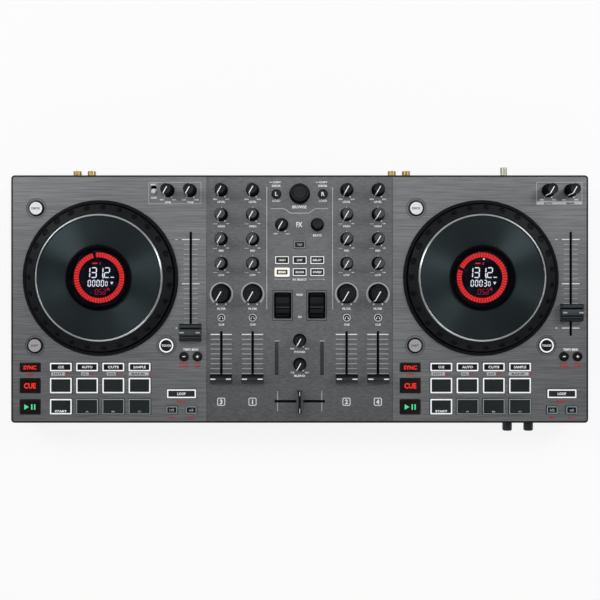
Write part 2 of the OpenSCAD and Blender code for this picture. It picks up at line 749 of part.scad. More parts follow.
module deck_plate(side) {
    deck_mid = deck_x(side);
    outer = side == "left" ? -1 : 1;
    difference() {
        translate([deck_mid, 0, plate_z]) linear_extrude(plate_t) intersection() {
            translate([-outer * corner_r, 0])
                rounded(deck_w - 2 * plate_gap + 2 * corner_r, case_d - 2 * rim_w - 2 * plate_gap,
                    corner_r - rim_w);
            square([deck_w - 2 * plate_gap, case_d], center = true);
        }
        translate([deck_mid, 0, plate_z - 1]) linear_extrude(plate_t + 2) {
            translate(jog_at) circle(r = cup_r + clear);
            key_holes(concat(deck_keys, deck_pads));
            shaft_holes(deck_pots);
            slot(tempo_at, tempo_slot_l, false);
            if (side == "left") translate(mic_slot_at)
                rounded(mic_slot_size[1], mic_slot_size[0], mic_slot_size[1] / 2 - 0.1);
        }
        for (k = deck_round_keys) translate([deck_mid + k[0], k[1], 0])
            rod(dish_r, face_z - dish_depth, face_z + 1);
    }
}

module deck_plates() {
    color("#6c6d70") for (s = sides) deck_plate(s);
}

module mixer_plate() {
    color("#5a5c5f") difference() {
        translate([0, 0, plate_z]) linear_extrude(plate_t)
            square([mixer_w - 2 * plate_gap, case_d - 2 * rim_w - 2 * plate_gap], center = true);
        translate([0, 0, plate_z - 1]) linear_extrude(plate_t + 2) {
            key_holes(mixer_keys);
            shaft_holes(mixer_pots);
            for (c = channels) slot([channel_x(c), fader_y], fader_slot_l, false);
            slot([0, cross_y], fader_slot_l, true);
            for (s = [-1, 1]) {
                translate([s * paddle_x, paddle_y]) square(paddle_hole, center = true);
                translate([s * meter_x, meter_y]) square(meter_size + [0.2, 0.2], center = true);
            }
        }
        for (s = [-1, 1]) translate([s * paddle_x, paddle_y, 0])
            block(paddle_frame[0], paddle_frame[1], face_z - 0.8, face_z + 1);
    }
}

// ---------- jog wheels ----------

module jog_bezels() {
    wall_in = cup_r - cup_wall;
    tube_in = hub_r - hub_wall;
    window_z = hub_top - window_t;
    display_z = window_z - 0.5 - display_t;
    color("#16171a") for (s = sides) translate([jog_x(s), jog_at[1], 0]) rotate_extrude($fn = 96)
        polygon([
            [tube_in, cup_z], [cup_r, cup_z], [cup_r, face_z], [bezel_r, face_z],
            [bezel_r, face_z + bezel_h - 0.8], [bezel_r - 0.8, face_z + bezel_h],
            [wall_in + 0.5, face_z + bezel_h], [wall_in, face_z + bezel_h - 0.5],
            [wall_in, cup_z + cup_floor_t], [hub_r + 1.5, cup_z + cup_floor_t],
            [hub_r + 1.5, bearing_z], [hub_r, bearing_z], [hub_r, window_z], [tube_in, window_z],
            [tube_in, display_z], [tube_in - shelf_w, display_z], [tube_in - shelf_w, display_z - 2],
            [tube_in, display_z - 2]
        ]);
}

module jog_bearings() {
    color("#9b9da0") for (s = sides) translate([jog_x(s), jog_at[1], 0]) difference() {
        rod(bearing_r, bearing_z, bearing_z + bearing_h, $fn = 96);
        rod(hub_r + pilot, bearing_z - 1, bearing_z + bearing_h + 1, $fn = 96);
    }
}

module jog_wheel(side) {
    sleeve_in = bearing_r + running;
    step_z = bearing_z + bearing_h + 0.3;
    color("#1b1d20") translate([jog_x(side), jog_at[1], 0]) difference() {
        rotate_extrude($fn = 96) polygon([
            [hub_r + hub_gap, jog_top - dish], [ring_r - ring_w, jog_top - dish],
            [ring_r - ring_w, jog_top], [ring_r, jog_top], [grip_r, jog_top - 1],
            [grip_end_r, jog_top - grip_drop], [jog_r, jog_top - grip_drop - edge_drop],
            [jog_r, skirt_z], [jog_r - skin_t, skirt_z],
            [jog_r - skin_t, jog_top - grip_drop - edge_drop - 1],
            [grip_r - 1, jog_top - disc_t - 1], [sleeve_in + sleeve_w, jog_top - disc_t - 1],
            [sleeve_in + sleeve_w, bearing_z - 0.5], [sleeve_in, bearing_z - 0.5],
            [sleeve_in, step_z], [hub_r + hub_gap, step_z]
        ]);
        for (i = [1:dimple_count]) rotate(i * 360 / dimple_count)
            translate([grip_mid[0] + ball_out * sin(grip_angle), 0,
                grip_mid[1] + ball_out * cos(grip_angle)])
                sphere(r = dimple_ball_r, $fn = 32);
    }
}

module display_windows() {
    color("#0b0c10") {
        for (s = sides) translate([jog_x(s), jog_at[1], 0])
            rotate_extrude($fn = 96) polygon([[0, hub_top - window_t], [hub_r, hub_top - window_t],
                [hub_r, hub_top - 0.8], [hub_r - 0.8, hub_top], [0, hub_top]]);
        for (s = [-1, 1]) translate([s * meter_x, meter_y, 0])
            block(meter_size[0], meter_size[1], plate_z - 2, face_z);
    }
}

// ---------- boards and what is soldered to them ----------

module board(x0, x1, y0, y1, z, posts) {
    difference() {
        translate([x0, y0, z]) cube([x1 - x0, y1 - y0, board_t]);
        at_each(posts) rod(screw_r + fit, z - 1, z + board_t + 1);
    }
}

module bracket() {
    lip = 6;
    x0 = bracket_x[0] - lip;
    x1 = bracket_x[1] + lip;
    difference() {
        union() {
            translate([x0, inner_d - bracket_t, rear_board_top]) cube([x1 - x0, bracket_t, bracket_h]);
            translate([x0, inner_d - bracket_foot, rear_board_top]) cube([x1 - x0, bracket_foot, bracket_t]);
        }
        for (x = bracket_x) from_wall(x, 1) rod(screw_r + pilot, -wall_t - bracket_t - 1, 0);
    }
}

module circuit_boards() {
    board_end = case_w / 2 - wall_t - board_edge + 1;
    board_y = inner_d - board_edge;
    seam = mixer_w / 2 + board_edge;
    socket_y = [inner_d - socket_board_gap - socket_board_d, inner_d - socket_board_gap];
    front_x = deck_x("right");
    window_z = hub_top - window_t;
    color("#14532d") {
        board(-board_end, -seam, -board_y, board_y, board_z, deck_posts("left"));
        board(seam, board_end, -board_y, board_y, board_z, deck_posts("right"));
        board(board_edge - mixer_w / 2, mixer_w / 2 - board_edge, -board_y, board_y, board_z, mixer_posts);
        board(rear_board_x[0], rear_board_x[1], socket_y[0], socket_y[1], rear_board_z, rear_posts);
        board(front_x + front_board_x[0], front_x + front_board_x[1], -socket_y[1], -socket_y[0],
            rear_board_z, front_posts);
        bracket();
        for (s = sides) translate([jog_x(s), jog_at[1], 0])
            rod(hub_r - hub_wall - 0.3, window_z - 0.5 - display_t, window_z - 0.5);
    }
}

module pot_body() {
    difference() {
        block(pot_side, pot_side, board_top, board_top + pot_h);
        rod(shaft_r + fit, shaft_z - 0.5, board_top + pot_h + 1);
    }
}

module key_switch() {
    block(switch_side, switch_side, board_top, board_top + switch_h);
    rod(1.6, board_top + switch_h - tiny, switch_top);
}

// Hollow box that a fader's carriage runs in, along Y
module fader_body(slot_l) {
    difference() {
        block(fader_body_w, slot_l + 2 * fader_end + 2 * fader_foot_extra, board_top, board_top + pot_h);
        block(channel_w, slot_l + 2 * fader_foot_extra, board_top + fader_floor,
            carriage_z + foot_t + clear);
        block(slot_w, slot_l, board_top + fader_floor, board_top + pot_h + 1);
    }
}

module paddle_bracket() {
    difference() {
        union() {
            block(paddle_w + 2 * (ear_gap + ear_t), 12, board_top, board_top + 1.5);
            for (s = [-1, 1]) translate([s * (paddle_w / 2 + ear_gap + ear_t / 2), 0, 0]) {
                block(ear_t, 2 * ear_r, board_top, paddle_z);
                translate([-ear_t / 2, 0, paddle_z]) rotate([0, 90, 0]) cylinder(r = ear_r, h = ear_t);
            }
        }
        translate([0, 0, paddle_z]) rotate([0, 90, 0])
            cylinder(r = pin_r + running, h = 4 * paddle_w, center = true);
    }
}

module front_pot(x) {
    depth = 8;
    difference() {
        translate([deck_x("right") + x - pot_side / 2, 1 - inner_d, rear_board_top])
            cube([pot_side, depth, socket_rise + pot_side / 2]);
        from_wall(deck_x("right") + x, -1) rod(shaft_r + fit, -wall_t - depth, 0);
    }
}

module mic_switch_body() {
    translate([deck_x("left") + mic_slot_at[0], mic_slot_at[1], 0])
        block(mic_body[0], mic_body[1], board_top, board_top + mic_body[2]);
}

module control_bodies() {
    color("#4a4d50") {
        at_each(mixer_pots) pot_body();
        at_each(mixer_keys) key_switch();
        for (c = channels) translate([channel_x(c), fader_y, 0]) fader_body(fader_slot_l);
        translate([0, cross_y, 0]) rotate(90) fader_body(fader_slot_l);
        for (s = [-1, 1]) translate([s * paddle_x, paddle_y, 0]) paddle_bracket();
        for (s = sides) translate([deck_x(s), 0, 0]) {
            at_each(deck_pots) pot_body();
            at_each(concat(deck_keys, deck_pads)) key_switch();
            translate([tempo_at[0], tempo_at[1], 0]) fader_body(tempo_slot_l);
        }
        for (x = front_knob_x) front_pot(x);
        mic_switch_body();
    }
}

// ---------- sockets ----------

function nose_r(bore) = bore + 1.6;

module phono_socket() {
    body_w = 10.4;
    difference() {
        union() {
            rod(phono_r, 0.2, phono_out);
            rod(phono_r - fit, -wall_t - 1, 0.3);
            translate([0, 0, -wall_t - 12]) block(body_w, 2 * socket_rise, 0, 12 - tiny);
        }
        rod(phono_contact_r, -wall_t - 4, phono_out + 1);
        difference() {
            rod(phono_r - 0.8, phono_out - 4, phono_out + 1);
            rod(phono_contact_r + 0.8, phono_out - 5, phono_out - 1);
        }
    }
}

module jack_socket(bore, depth, body) {
    difference() {
        union() {
            rod(nose_r(bore), -wall_t - 1, 0);
            translate([0, body / 2 - socket_rise + tiny, -wall_t]) mirror([0, 0, 1])
                block(body, body, 0, depth);
        }
        rod(bore, -depth, 1);
    }
}

module usb_socket() {
    tongue = [5.7, 3.2];
    drop = socket_rise - usb_size[1] / 2;
    difference() {
        union() {
            block(usb_size[0], usb_size[1], -usb_depth, 0);
            translate([0, (usb_size[1] + drop) / 2, 0])
                block(usb_size[0] - 3, drop, -usb_depth, -wall_t - 1);
        }
        difference() {
            block(usb_size[0] - 2 * usb_wall, usb_size[1] - 2 * usb_wall, 3 - usb_depth, 1);
            block(tongue[0], tongue[1], 2 - usb_depth, -2);
        }
    }
}

module ground_terminal() {
    rod(ground_r, -wall_t - 6, overhang - tiny);
    rod(ground_nut_r, 0.5, overhang);
    translate([0, (socket_rise - 2) / 2, -wall_t - 4.5]) block(8, socket_rise + 2, -1.5, 1.5);
}

module sockets() {
    color("#b8924a") {
        for (x = phono_x) from_wall(x, 1) phono_socket();
        from_wall(mic_jack_x, 1) mirror([0, 1, 0]) jack_socket(jack_r, jack_depth, 13);
        from_wall(usb_x, 1) usb_socket();
        from_wall(ground_x, 1) ground_terminal();
        from_wall(deck_x("right") + phones_x[0], -1) jack_socket(jack_r, jack_depth, 13);
        from_wall(deck_x("right") + phones_x[1], -1) jack_socket(mini_r, mini_depth, 8);
    }
}

// ---------- knobs ----------

function knob_profile(r, neck, top_r, h) =
    [[0, 0], [r, 0], [r, skirt_h - 0.6], [r - 0.6, skirt_h], [neck, skirt_h],
     [top_r, h - 0.7], [top_r - 0.7, h], [0, h]];

// A raised line that runs from near the middle over the top and down the side
function pointer_profile(r, neck, top_r, h) =
    let (proud = 0.25)
    [[1, h - 1], [1, h + proud], [top_r - 0.6, h + proud], [top_r + proud, h - 0.6],
     [neck + proud, skirt_h + proud], [r - 0.4, skirt_h + proud], [r - 0.4, skirt_h - 1],
     [neck - 1, skirt_h - 1], [top_r - 1, h - 1]];

module knob(at, r, top_r, h, pointed) {
    neck = top_r + 1;
    foot = face_z + knob_gap;
    tall = h - knob_gap - 0.25;
    groove_r = 0.7;
    color("#1c2023") translate([at[0], at[1], 0]) {
        difference() {
            translate([0, 0, foot]) rotate_extrude() polygon(knob_profile(r, neck, top_r, tall));
            for (i = [1:groove_count]) rotate(rest_angle + (i + 0.5) * 360 / groove_count)
                translate([neck + 0.25, 0, foot + skirt_h]) cylinder(r = groove_r, h = tall, $fn = 24);
        }
        if (pointed) rotate(rest_angle) translate([0, 0, foot]) rotate([90, 0, 0])
            linear_extrude(0.9, center = true) polygon(pointer_profile(r, neck, top_r, tall));
        rod(shaft_r, shaft_z, foot + 0.5);
    }
}

module small_knob(at) {
    knob(at, knob_r, knob_top_r, knob_h, true);
}

module filter_knob(c) {
    knob([channel_x(c), filter_y], filter_r, filter_top_r, knob_h, true);
}

module front_knob(x) {
    grip = front_knob_r - 0.4;
    color("#1c2023") from_wall(deck_x("right") + x, -1) {
        difference() {
            rotate_extrude() polygon([[0, 0.5], [front_knob_r, 0.5], [front_knob_r, overhang - 0.8],
                [front_knob_r - 0.8, overhang], [0, overhang]]);
            for (i = [1:groove_count]) rotate((i + 0.5) * 360 / groove_count)
                translate([front_knob_r + 0.3, 0, 1.5]) cylinder(r = 0.7, h = overhang, $fn = 24);
        }
        rod(shaft_r, -wall_t - 6, 1);
    }
}

// ---------- faders ----------

// Side view of a fader cap: two stepped shoulders and a low saddle with a ridge on it
function cap_profile(l, h) =
    let (half = l / 2, saddle = 0.62 * h, ridge = 0.76 * h)
    [[-half, 0], [half, 0], [half, 0.5 * h], [0.86 * half, 0.82 * h], [0.72 * half, 0.82 * h],
     [0.66 * half, h], [0.44 * half, h], [0.3 * half, saddle], [0.14 * half, saddle],
     [0.08 * half, ridge], [-0.08 * half, ridge], [-0.14 * half, saddle], [-0.3 * half, saddle],
     [-0.44 * half, h], [-0.66 * half, h], [-0.72 * half, 0.82 * h], [-0.86 * half, 0.82 * h],
     [-half, 0.5 * h]];

module fader(l) {
    foot = face_z + 0.8;
    color("#16191b") {
        translate([0, 0, foot]) rotate([90, 0, 90]) linear_extrude(cap_w, center = true)
            polygon(cap_profile(l, cap_h - 0.8));
        block(stem_w, stem_l, carriage_z, foot + 1);
        block(foot_w, foot_l, carriage_z, carriage_z + foot_t);
    }
}

module channel_fader(c) {
    translate([channel_x(c), fader_y + fader_rest, 0]) fader(fader_cap_l);
}

module crossfader() {
    translate([0, cross_y, 0]) rotate(90) fader(fader_cap_l);
}

module tempo_fader(side) {
    rest = side == "left" ? left_tempo_rest : right_tempo_rest;
    translate([deck_x(side) + tempo_at[0], tempo_at[1] + rest, 0]) fader(tempo_cap_l);
}

module mic_switch() {
    lever_r = mic_slot_size[1] / 2 - clear;
    low = board_top + mic_body[2] + clear;
    top = face_z + 2.8;
    color("#c8cacc") translate([deck_x("left") + mic_slot_at[0], mic_slot_at[1] - mic_travel / 2, 0]) {
        rotate_extrude() polygon([[0, low], [lever_r, low], [lever_r, top - 0.8],
            [lever_r - 0.8, top], [0, top]]);
        block(mic_body[0] - 1, mic_body[0] - 1, low, low + 2);
    }
}

// ---------- paddles ----------

module paddle(side) {
    way = side == "left" ? -1 : 1;
    reach = paddle_w / 2 + ear_gap + ear_t + 0.5;
    groove_pitch = 6.5;
    waist_r = 60;
    waist = 0.9;
    color("#0f1113") translate([way * paddle_x, paddle_y, paddle_z]) {
        difference() {
            rotate([0, 90, 0]) cylinder(r = paddle_r, h = paddle_w, center = true, $fn = 96);
            block(2 * paddle_w, 4 * paddle_r, -2 * paddle_r, -2.5);
            translate([0, 0, paddle_drop + paddle_rise + paddle_r * 2.1]) rotate([0, 90, 0])
                cylinder(r = paddle_r * 2.1, h = 2 * paddle_w, center = true, $fn = 96);
            for (s = [-1, 1]) {
                for (i = [1:4]) rotate([s * (34 + groove_pitch * i), 0, 0])
                    translate([0, 0, paddle_r]) rotate([0, 90, 0])
                        cylinder(r = 0.35, h = 2 * paddle_w, center = true, $fn = 16);
                translate([s * (paddle_w / 2 + waist_r - waist), 0, paddle_drop])
                    rod(waist_r, -1, 2 * paddle_r, $fn = 96);
            }
        }
        rotate([0, 90, 0]) cylinder(r = pin_r, h = 2 * reach, center = true);
        block(paddle_w - 3, 0.9, paddle_drop, paddle_drop + paddle_rise + 0.4);
    }
}

// ---------- keys ----------

module key(k) {
    translate([0, 0, flange_z]) linear_extrude(face_z + key_rise - flange_z) key_outline(k, 0);
    translate([0, 0, flange_z]) linear_extrude(flange_t) key_outline(k, flange_w);
    translate([k[0], k[1], 0]) rod(1.6, stem_z, flange_z + tiny);
}

module pads(side) {
    color("#2a3033") translate([deck_x(side), 0, 0]) for (k = deck_pads) key(k);
}

module buttons(side) {
    color("#202427") translate([deck_x(side), 0, 0]) for (k = deck_keys) key(k);
}

module mixer_buttons() {
    color("#202427") for (k = mixer_keys) key(k);
}

// ---------- all pieces ----------

bottom_case();
top_case();
deck_plates();
mixer_plate();
rubber_feet();
case_screws();
circuit_boards();
sockets();
jog_bezels();
jog_bearings();
display_windows();
control_bodies();
for (i = [0:3]) for (c = channels)
    small_knob([channel_x(c), eq_y(i)]);
for (c = channels) {
    filter_knob(c);
    channel_fader(c);
}
crossfader();
mic_switch();
small_knob([deck_x("left") + rear_knob_x[0], rear_knob_y]);  // mic_level_knob
small_knob([deck_x("left") + rear_knob_x[1], rear_knob_y]);  // mic_tone_knob
small_knob([deck_x("right") + rear_knob_x[0], rear_knob_y]);  // booth_level_knob
small_knob([deck_x("right") + rear_knob_x[1], rear_knob_y]);  // main_level_knob
small_knob(depth_at);  // effect_depth_knob
knob(beats_at, knob_r, knob_top_r, knob_h, false);  // beats_knob
knob([0, browse_y], browse_r, browse_r - 2.2, browse_h, false);  // browse_knob
small_knob([0, cue_knob_y[0]]);  // cue_gain_knob
small_knob([0, cue_knob_y[1]]);  // cue_mix_knob
for (i = [0, 1]) {
    front_knob(front_knob_x[i]);
    jog_wheel(sides[i]);
    tempo_fader(sides[i]);
    paddle(sides[i]);
    pads(sides[i]);
    buttons(sides[i]);
}
mixer_buttons();
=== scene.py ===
# DJ controller: the finish of every surface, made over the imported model
import json
import math
import bpy
import mathutils
import numpy as np
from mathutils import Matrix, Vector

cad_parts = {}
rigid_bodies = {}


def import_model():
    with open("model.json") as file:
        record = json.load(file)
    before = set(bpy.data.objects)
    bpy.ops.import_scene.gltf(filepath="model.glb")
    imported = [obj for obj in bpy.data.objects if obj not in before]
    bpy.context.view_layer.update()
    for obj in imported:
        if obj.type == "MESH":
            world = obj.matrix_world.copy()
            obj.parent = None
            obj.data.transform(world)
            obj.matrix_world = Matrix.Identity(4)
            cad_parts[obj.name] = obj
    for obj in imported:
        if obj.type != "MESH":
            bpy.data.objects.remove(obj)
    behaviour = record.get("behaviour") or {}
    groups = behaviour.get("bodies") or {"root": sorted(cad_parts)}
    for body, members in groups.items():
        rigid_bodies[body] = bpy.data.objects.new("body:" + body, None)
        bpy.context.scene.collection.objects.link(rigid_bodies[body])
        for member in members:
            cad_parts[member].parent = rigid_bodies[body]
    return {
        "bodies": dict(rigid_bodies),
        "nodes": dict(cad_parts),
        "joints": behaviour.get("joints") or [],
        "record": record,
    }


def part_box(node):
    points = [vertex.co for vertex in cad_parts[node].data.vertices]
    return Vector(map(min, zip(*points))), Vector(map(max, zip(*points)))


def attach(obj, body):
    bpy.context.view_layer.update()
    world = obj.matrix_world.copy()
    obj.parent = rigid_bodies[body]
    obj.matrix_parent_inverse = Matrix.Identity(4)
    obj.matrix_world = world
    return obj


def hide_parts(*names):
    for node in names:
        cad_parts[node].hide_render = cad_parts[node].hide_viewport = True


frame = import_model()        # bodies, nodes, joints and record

mm = 0.001
sides = ("left", "right")
turn = 2 * np.pi


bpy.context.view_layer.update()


def boxOf(node):
    low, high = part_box(node)
    return np.array(low) / mm, np.array(high) / mm


def middleOf(node):
    low, high = boxOf(node)
    return (low + high) / 2


def solidsOf(node):
    # (middle, size) of each loose solid of a node, from front to rear and left to right.
    # Points at one place are one point, and joined points take the lowest number among them.
    mesh = frame["nodes"][node].data
    points = np.empty(len(mesh.vertices) * 3)
    mesh.vertices.foreach_get("co", points)
    points = points.reshape(-1, 3) / mm
    same = np.unique(np.round(points, 3), axis=0, return_inverse=True)[1].ravel()
    ends = np.empty(len(mesh.edges) * 2, dtype=np.int64)
    mesh.edges.foreach_get("vertices", ends)
    ends = same[ends].reshape(-1, 2)
    label = np.arange(same.max() + 1)
    while True:
        lowest = label.copy()
        least = np.minimum(label[ends[:, 0]], label[ends[:, 1]])
        np.minimum.at(lowest, ends[:, 0], least)
        np.minimum.at(lowest, ends[:, 1], least)
        lowest = lowest[lowest]
        if (lowest == label).all():
            break
        label = lowest
    found = []
    for number in np.unique(label):
        part = points[label[same] == number]
        low, high = part.min(0), part.max(0)
        found.append(((low + high) / 2, high - low))
    return sorted(found, key=lambda s: (round(s[0][1], 1), round(s[0][0], 1)))


def jointOf(body):
    return next(j for j in frame["joints"] if j["child"] == body)


plateZ = boxOf("deck_plates")[1][2]            # top of the face plates
caseFront = boxOf("top_case")[0][1]
print("frame read, plates at", round(float(plateZ), 2), "mm")


def hexColour(text):
    # a screen colour as linear light
    parts = np.array([int(text[i:i + 2], 16) for i in (0, 2, 4)]) / 255
    linear = np.where(parts <= 0.04045, parts / 12.92, ((parts + 0.055) / 1.055) ** 2.4)
    return (*linear.tolist(), 1.0)


def scaled(colour, factor):
    return (*[min(1.0, c * factor) for c in colour[:3]], 1.0)


class Finish:
    # a node material: noise, ramps and bump are added by name
    def __init__(self, name, roughness=0.5, metallic=0.0, specular=0.5):
        self.material = bpy.data.materials.new(name)
        self.material.use_nodes = True
        self.nodes = self.material.node_tree.nodes
        self.links = self.material.node_tree.links
        self.shader = self.nodes["Principled BSDF"]
        self.feed({"Roughness": roughness, "Metallic": metallic, "Specular IOR Level": specular})
        self.place = self.add("TexCoord", "Object")

    def feed(self, inputs, node=None):
        # each input takes the socket that it is given, or else the plain value
        for name, value in inputs.items():
            socket = (node or self.shader).inputs[name]
            if isinstance(value, bpy.types.NodeSocket):
                self.links.new(value, socket)
            else:
                socket.default_value = value

    def add(self, kind, output=0, inputs={}, **settings):
        node = self.nodes.new("ShaderNode" + kind)
        for name, value in settings.items():
            setattr(node, name, value)
        self.feed(inputs, node)
        return node.outputs[output]

    def stretched(self, scale, offset=(0, 0, 0)):
        return self.add("Mapping", 0, {"Scale": scale, "Location": offset, "Vector": self.place})

    def noise(self, scale, detail=3.0, place=None):
        return self.add("TexNoise", "Fac", {"Scale": scale, "Detail": detail, "Vector": place or self.place})

    def ramp(self, factor, *stops):
        colour = self.add("ValToRGB", "Color", {"Fac": factor})
        ends = colour.node.color_ramp.elements
        while len(ends) < len(stops):
            ends.new(0.5)
        for end, (position, tone) in zip(ends, stops):
            end.position = position
            end.color = tone
        return colour

    def tones(self, factor, colour, low, high, start=0.35, end=0.65):
        # a ramp between a darker and a lighter tone of one colour
        return self.ramp(factor, (start, scaled(colour, low)), (end, scaled(colour, high)))

    def spread(self, factor, low, high):
        return self.add("MapRange", "Result", {
            "From Min": 0.25, "From Max": 0.75, "To Min": low, "To Max": high, "Value": factor})

    def mixed(self, factor, first, second):
        return self.add("Mix", 2, {0: factor, 6: first, 7: second}, data_type="RGBA")

    def bump(self, height, strength, depth):
        values = {"Strength": strength, "Distance": depth * mm, "Height": height}
        self.feed({"Normal": self.add("Bump", "Normal", values)})


def mouldedPlastic(name, colour, roughness=0.42, grain=1400, depth=0.03, specular=0.25, vary=0.16):
    # fine spark-eroded grain, with slow patches of tone and gloss from handling
    look = Finish(name, roughness, specular=specular)
    patches, fine = look.noise(38, 4), look.noise(grain, 2)
    tone = look.tones(patches, colour, 1 - vary, 1 + vary, 0.3, 0.7)
    look.feed({"Base Color": look.mixed(0.25, tone, look.tones(fine, colour, 0.75, 1.3)),
               "Roughness": look.spread(patches, roughness - 0.05, roughness + 0.07)})
    look.bump(fine, 0.35, depth)
    return look.material


def brushedPlate(name, colour, stroke, vary, metallic, roughness):
    # strokes along X in two widths, hair fine and about a millimetre, under a clear lacquer,
    # with slow clouds of tone across the sheet
    look = Finish(name, roughness, metallic)
    hair = look.noise(1.0, 4, look.stretched((stroke, 2600, 400)))
    streak = look.noise(1.0, 2, look.stretched((stroke * 0.5, 1150, 150), (3, 5, 1)))
    fine = look.tones(hair, colour, 1 - vary, 1 + vary)
    wide = look.tones(streak, colour, 1 - vary, 1 + vary, 0.38, 0.62)
    slow = look.tones(look.noise(12, 4), colour, 0.92, 1.08)
    look.feed({"Base Color": look.mixed(0.25, look.mixed(0.5, fine, wide), slow),
               "Roughness": look.spread(hair, roughness - 0.06, roughness + 0.08)})
    look.bump(hair, 0.12, 0.02)
    return look.material


def spunMetal(name, colour, roughness, metallic):
    # turned on a lathe: the gloss fans out from the middle
    look = Finish(name, roughness, metallic)
    cloud = look.noise(24, 3)
    look.feed({"Anisotropic": 0.95, "Anisotropic Rotation": 0.25,
               "Tangent": look.add("Tangent", 0, direction_type="RADIAL", axis="Z"),
               "Base Color": look.tones(cloud, colour, 0.88, 1.12, 0.3, 0.7),
               "Roughness": look.spread(cloud, roughness - 0.03, roughness + 0.05)})
    return look.material


def turnedMetal(name, colour, roughness, metallic=1.0):
    # plated and polished, with faint turning marks and a little tarnish
    look = Finish(name, roughness, metallic)
    marks = look.noise(900, 2)
    look.feed({"Base Color": look.tones(look.noise(160, 4), colour, 0.7, 1, 0.3, 0.6),
               "Roughness": look.spread(marks, roughness - 0.04, roughness + 0.1)})
    look.bump(marks, 0.15, 0.02)
    return look.material


def printedInk(name, colour):
    # screen print: slightly uneven in density, matt
    look = Finish(name, 0.55, specular=0.3)
    look.feed({"Base Color": look.tones(look.noise(900, 2), colour, 0.88, 1, 0.3, 0.7)})
    return look.material


def litPlastic(name, colour, strength, body=0.15):
    # a smoked diffuser with a lamp behind it, a little brighter in places
    look = Finish(name, 0.5, specular=0.2)
    look.feed({"Base Color": scaled(colour, body), "Emission Strength": strength,
               "Emission Color": look.tones(look.noise(140, 2), colour, 0.85, 1, 0.25, 0.75)})
    return look.material


def clearWindow(name, colour):
    look = Finish(name, 0.02)
    look.feed({"Base Color": colour, "Transmission Weight": 1.0, "IOR": 1.08,
               "Roughness": look.spread(look.noise(70, 3), 0.01, 0.05)})
    return look.material


def socketMetal(name, gilt, nickel, black):
    # one node holds every socket: its finish changes from place to place along X,
    # gilt on the phono barrels, nickel on the post and the square socket, black on the rest
    nickel, black = hexColour(nickel), hexColour(black)
    look = Finish(name, 0.3)
    low, high = (corner[0] for corner in boxOf("sockets"))
    along = look.add("SeparateXYZ", "X", {0: look.place})
    share = look.add("MapRange", "Result", {"From Min": low * mm, "From Max": high * mm, "Value": along})
    kinds = []
    for middle, size in sorted(solidsOf("sockets"), key=lambda s: s[0][0]):
        wide, deep = np.round(size[:2], 1)
        metal = nickel if deep < 17 and wide > 10 or wide == 8 and deep > 17 else black
        kinds.append((middle[0], gilt if wide == 10.4 else metal))
    starts = [0] + [((a[0] + b[0]) / 2 - low) / (high - low) for a, b in zip(kinds, kinds[1:])]
    tone = look.ramp(share, *[(at, kind) for at, (_, kind) in zip(starts, kinds)])
    shine = [(*[float(kind != black)] * 3, 1) for _, kind in kinds]
    metal = look.ramp(share, *zip(starts, shine))
    for colour in (tone, metal):
        colour.node.color_ramp.interpolation = "CONSTANT"
    stain = look.noise(200, 4)
    look.feed({"Base Color": look.mixed(look.spread(stain, 0, 0.35), tone, black), "Metallic": metal,
               "Roughness": look.spread(stain, 0.24, 0.4)})
    return look.material


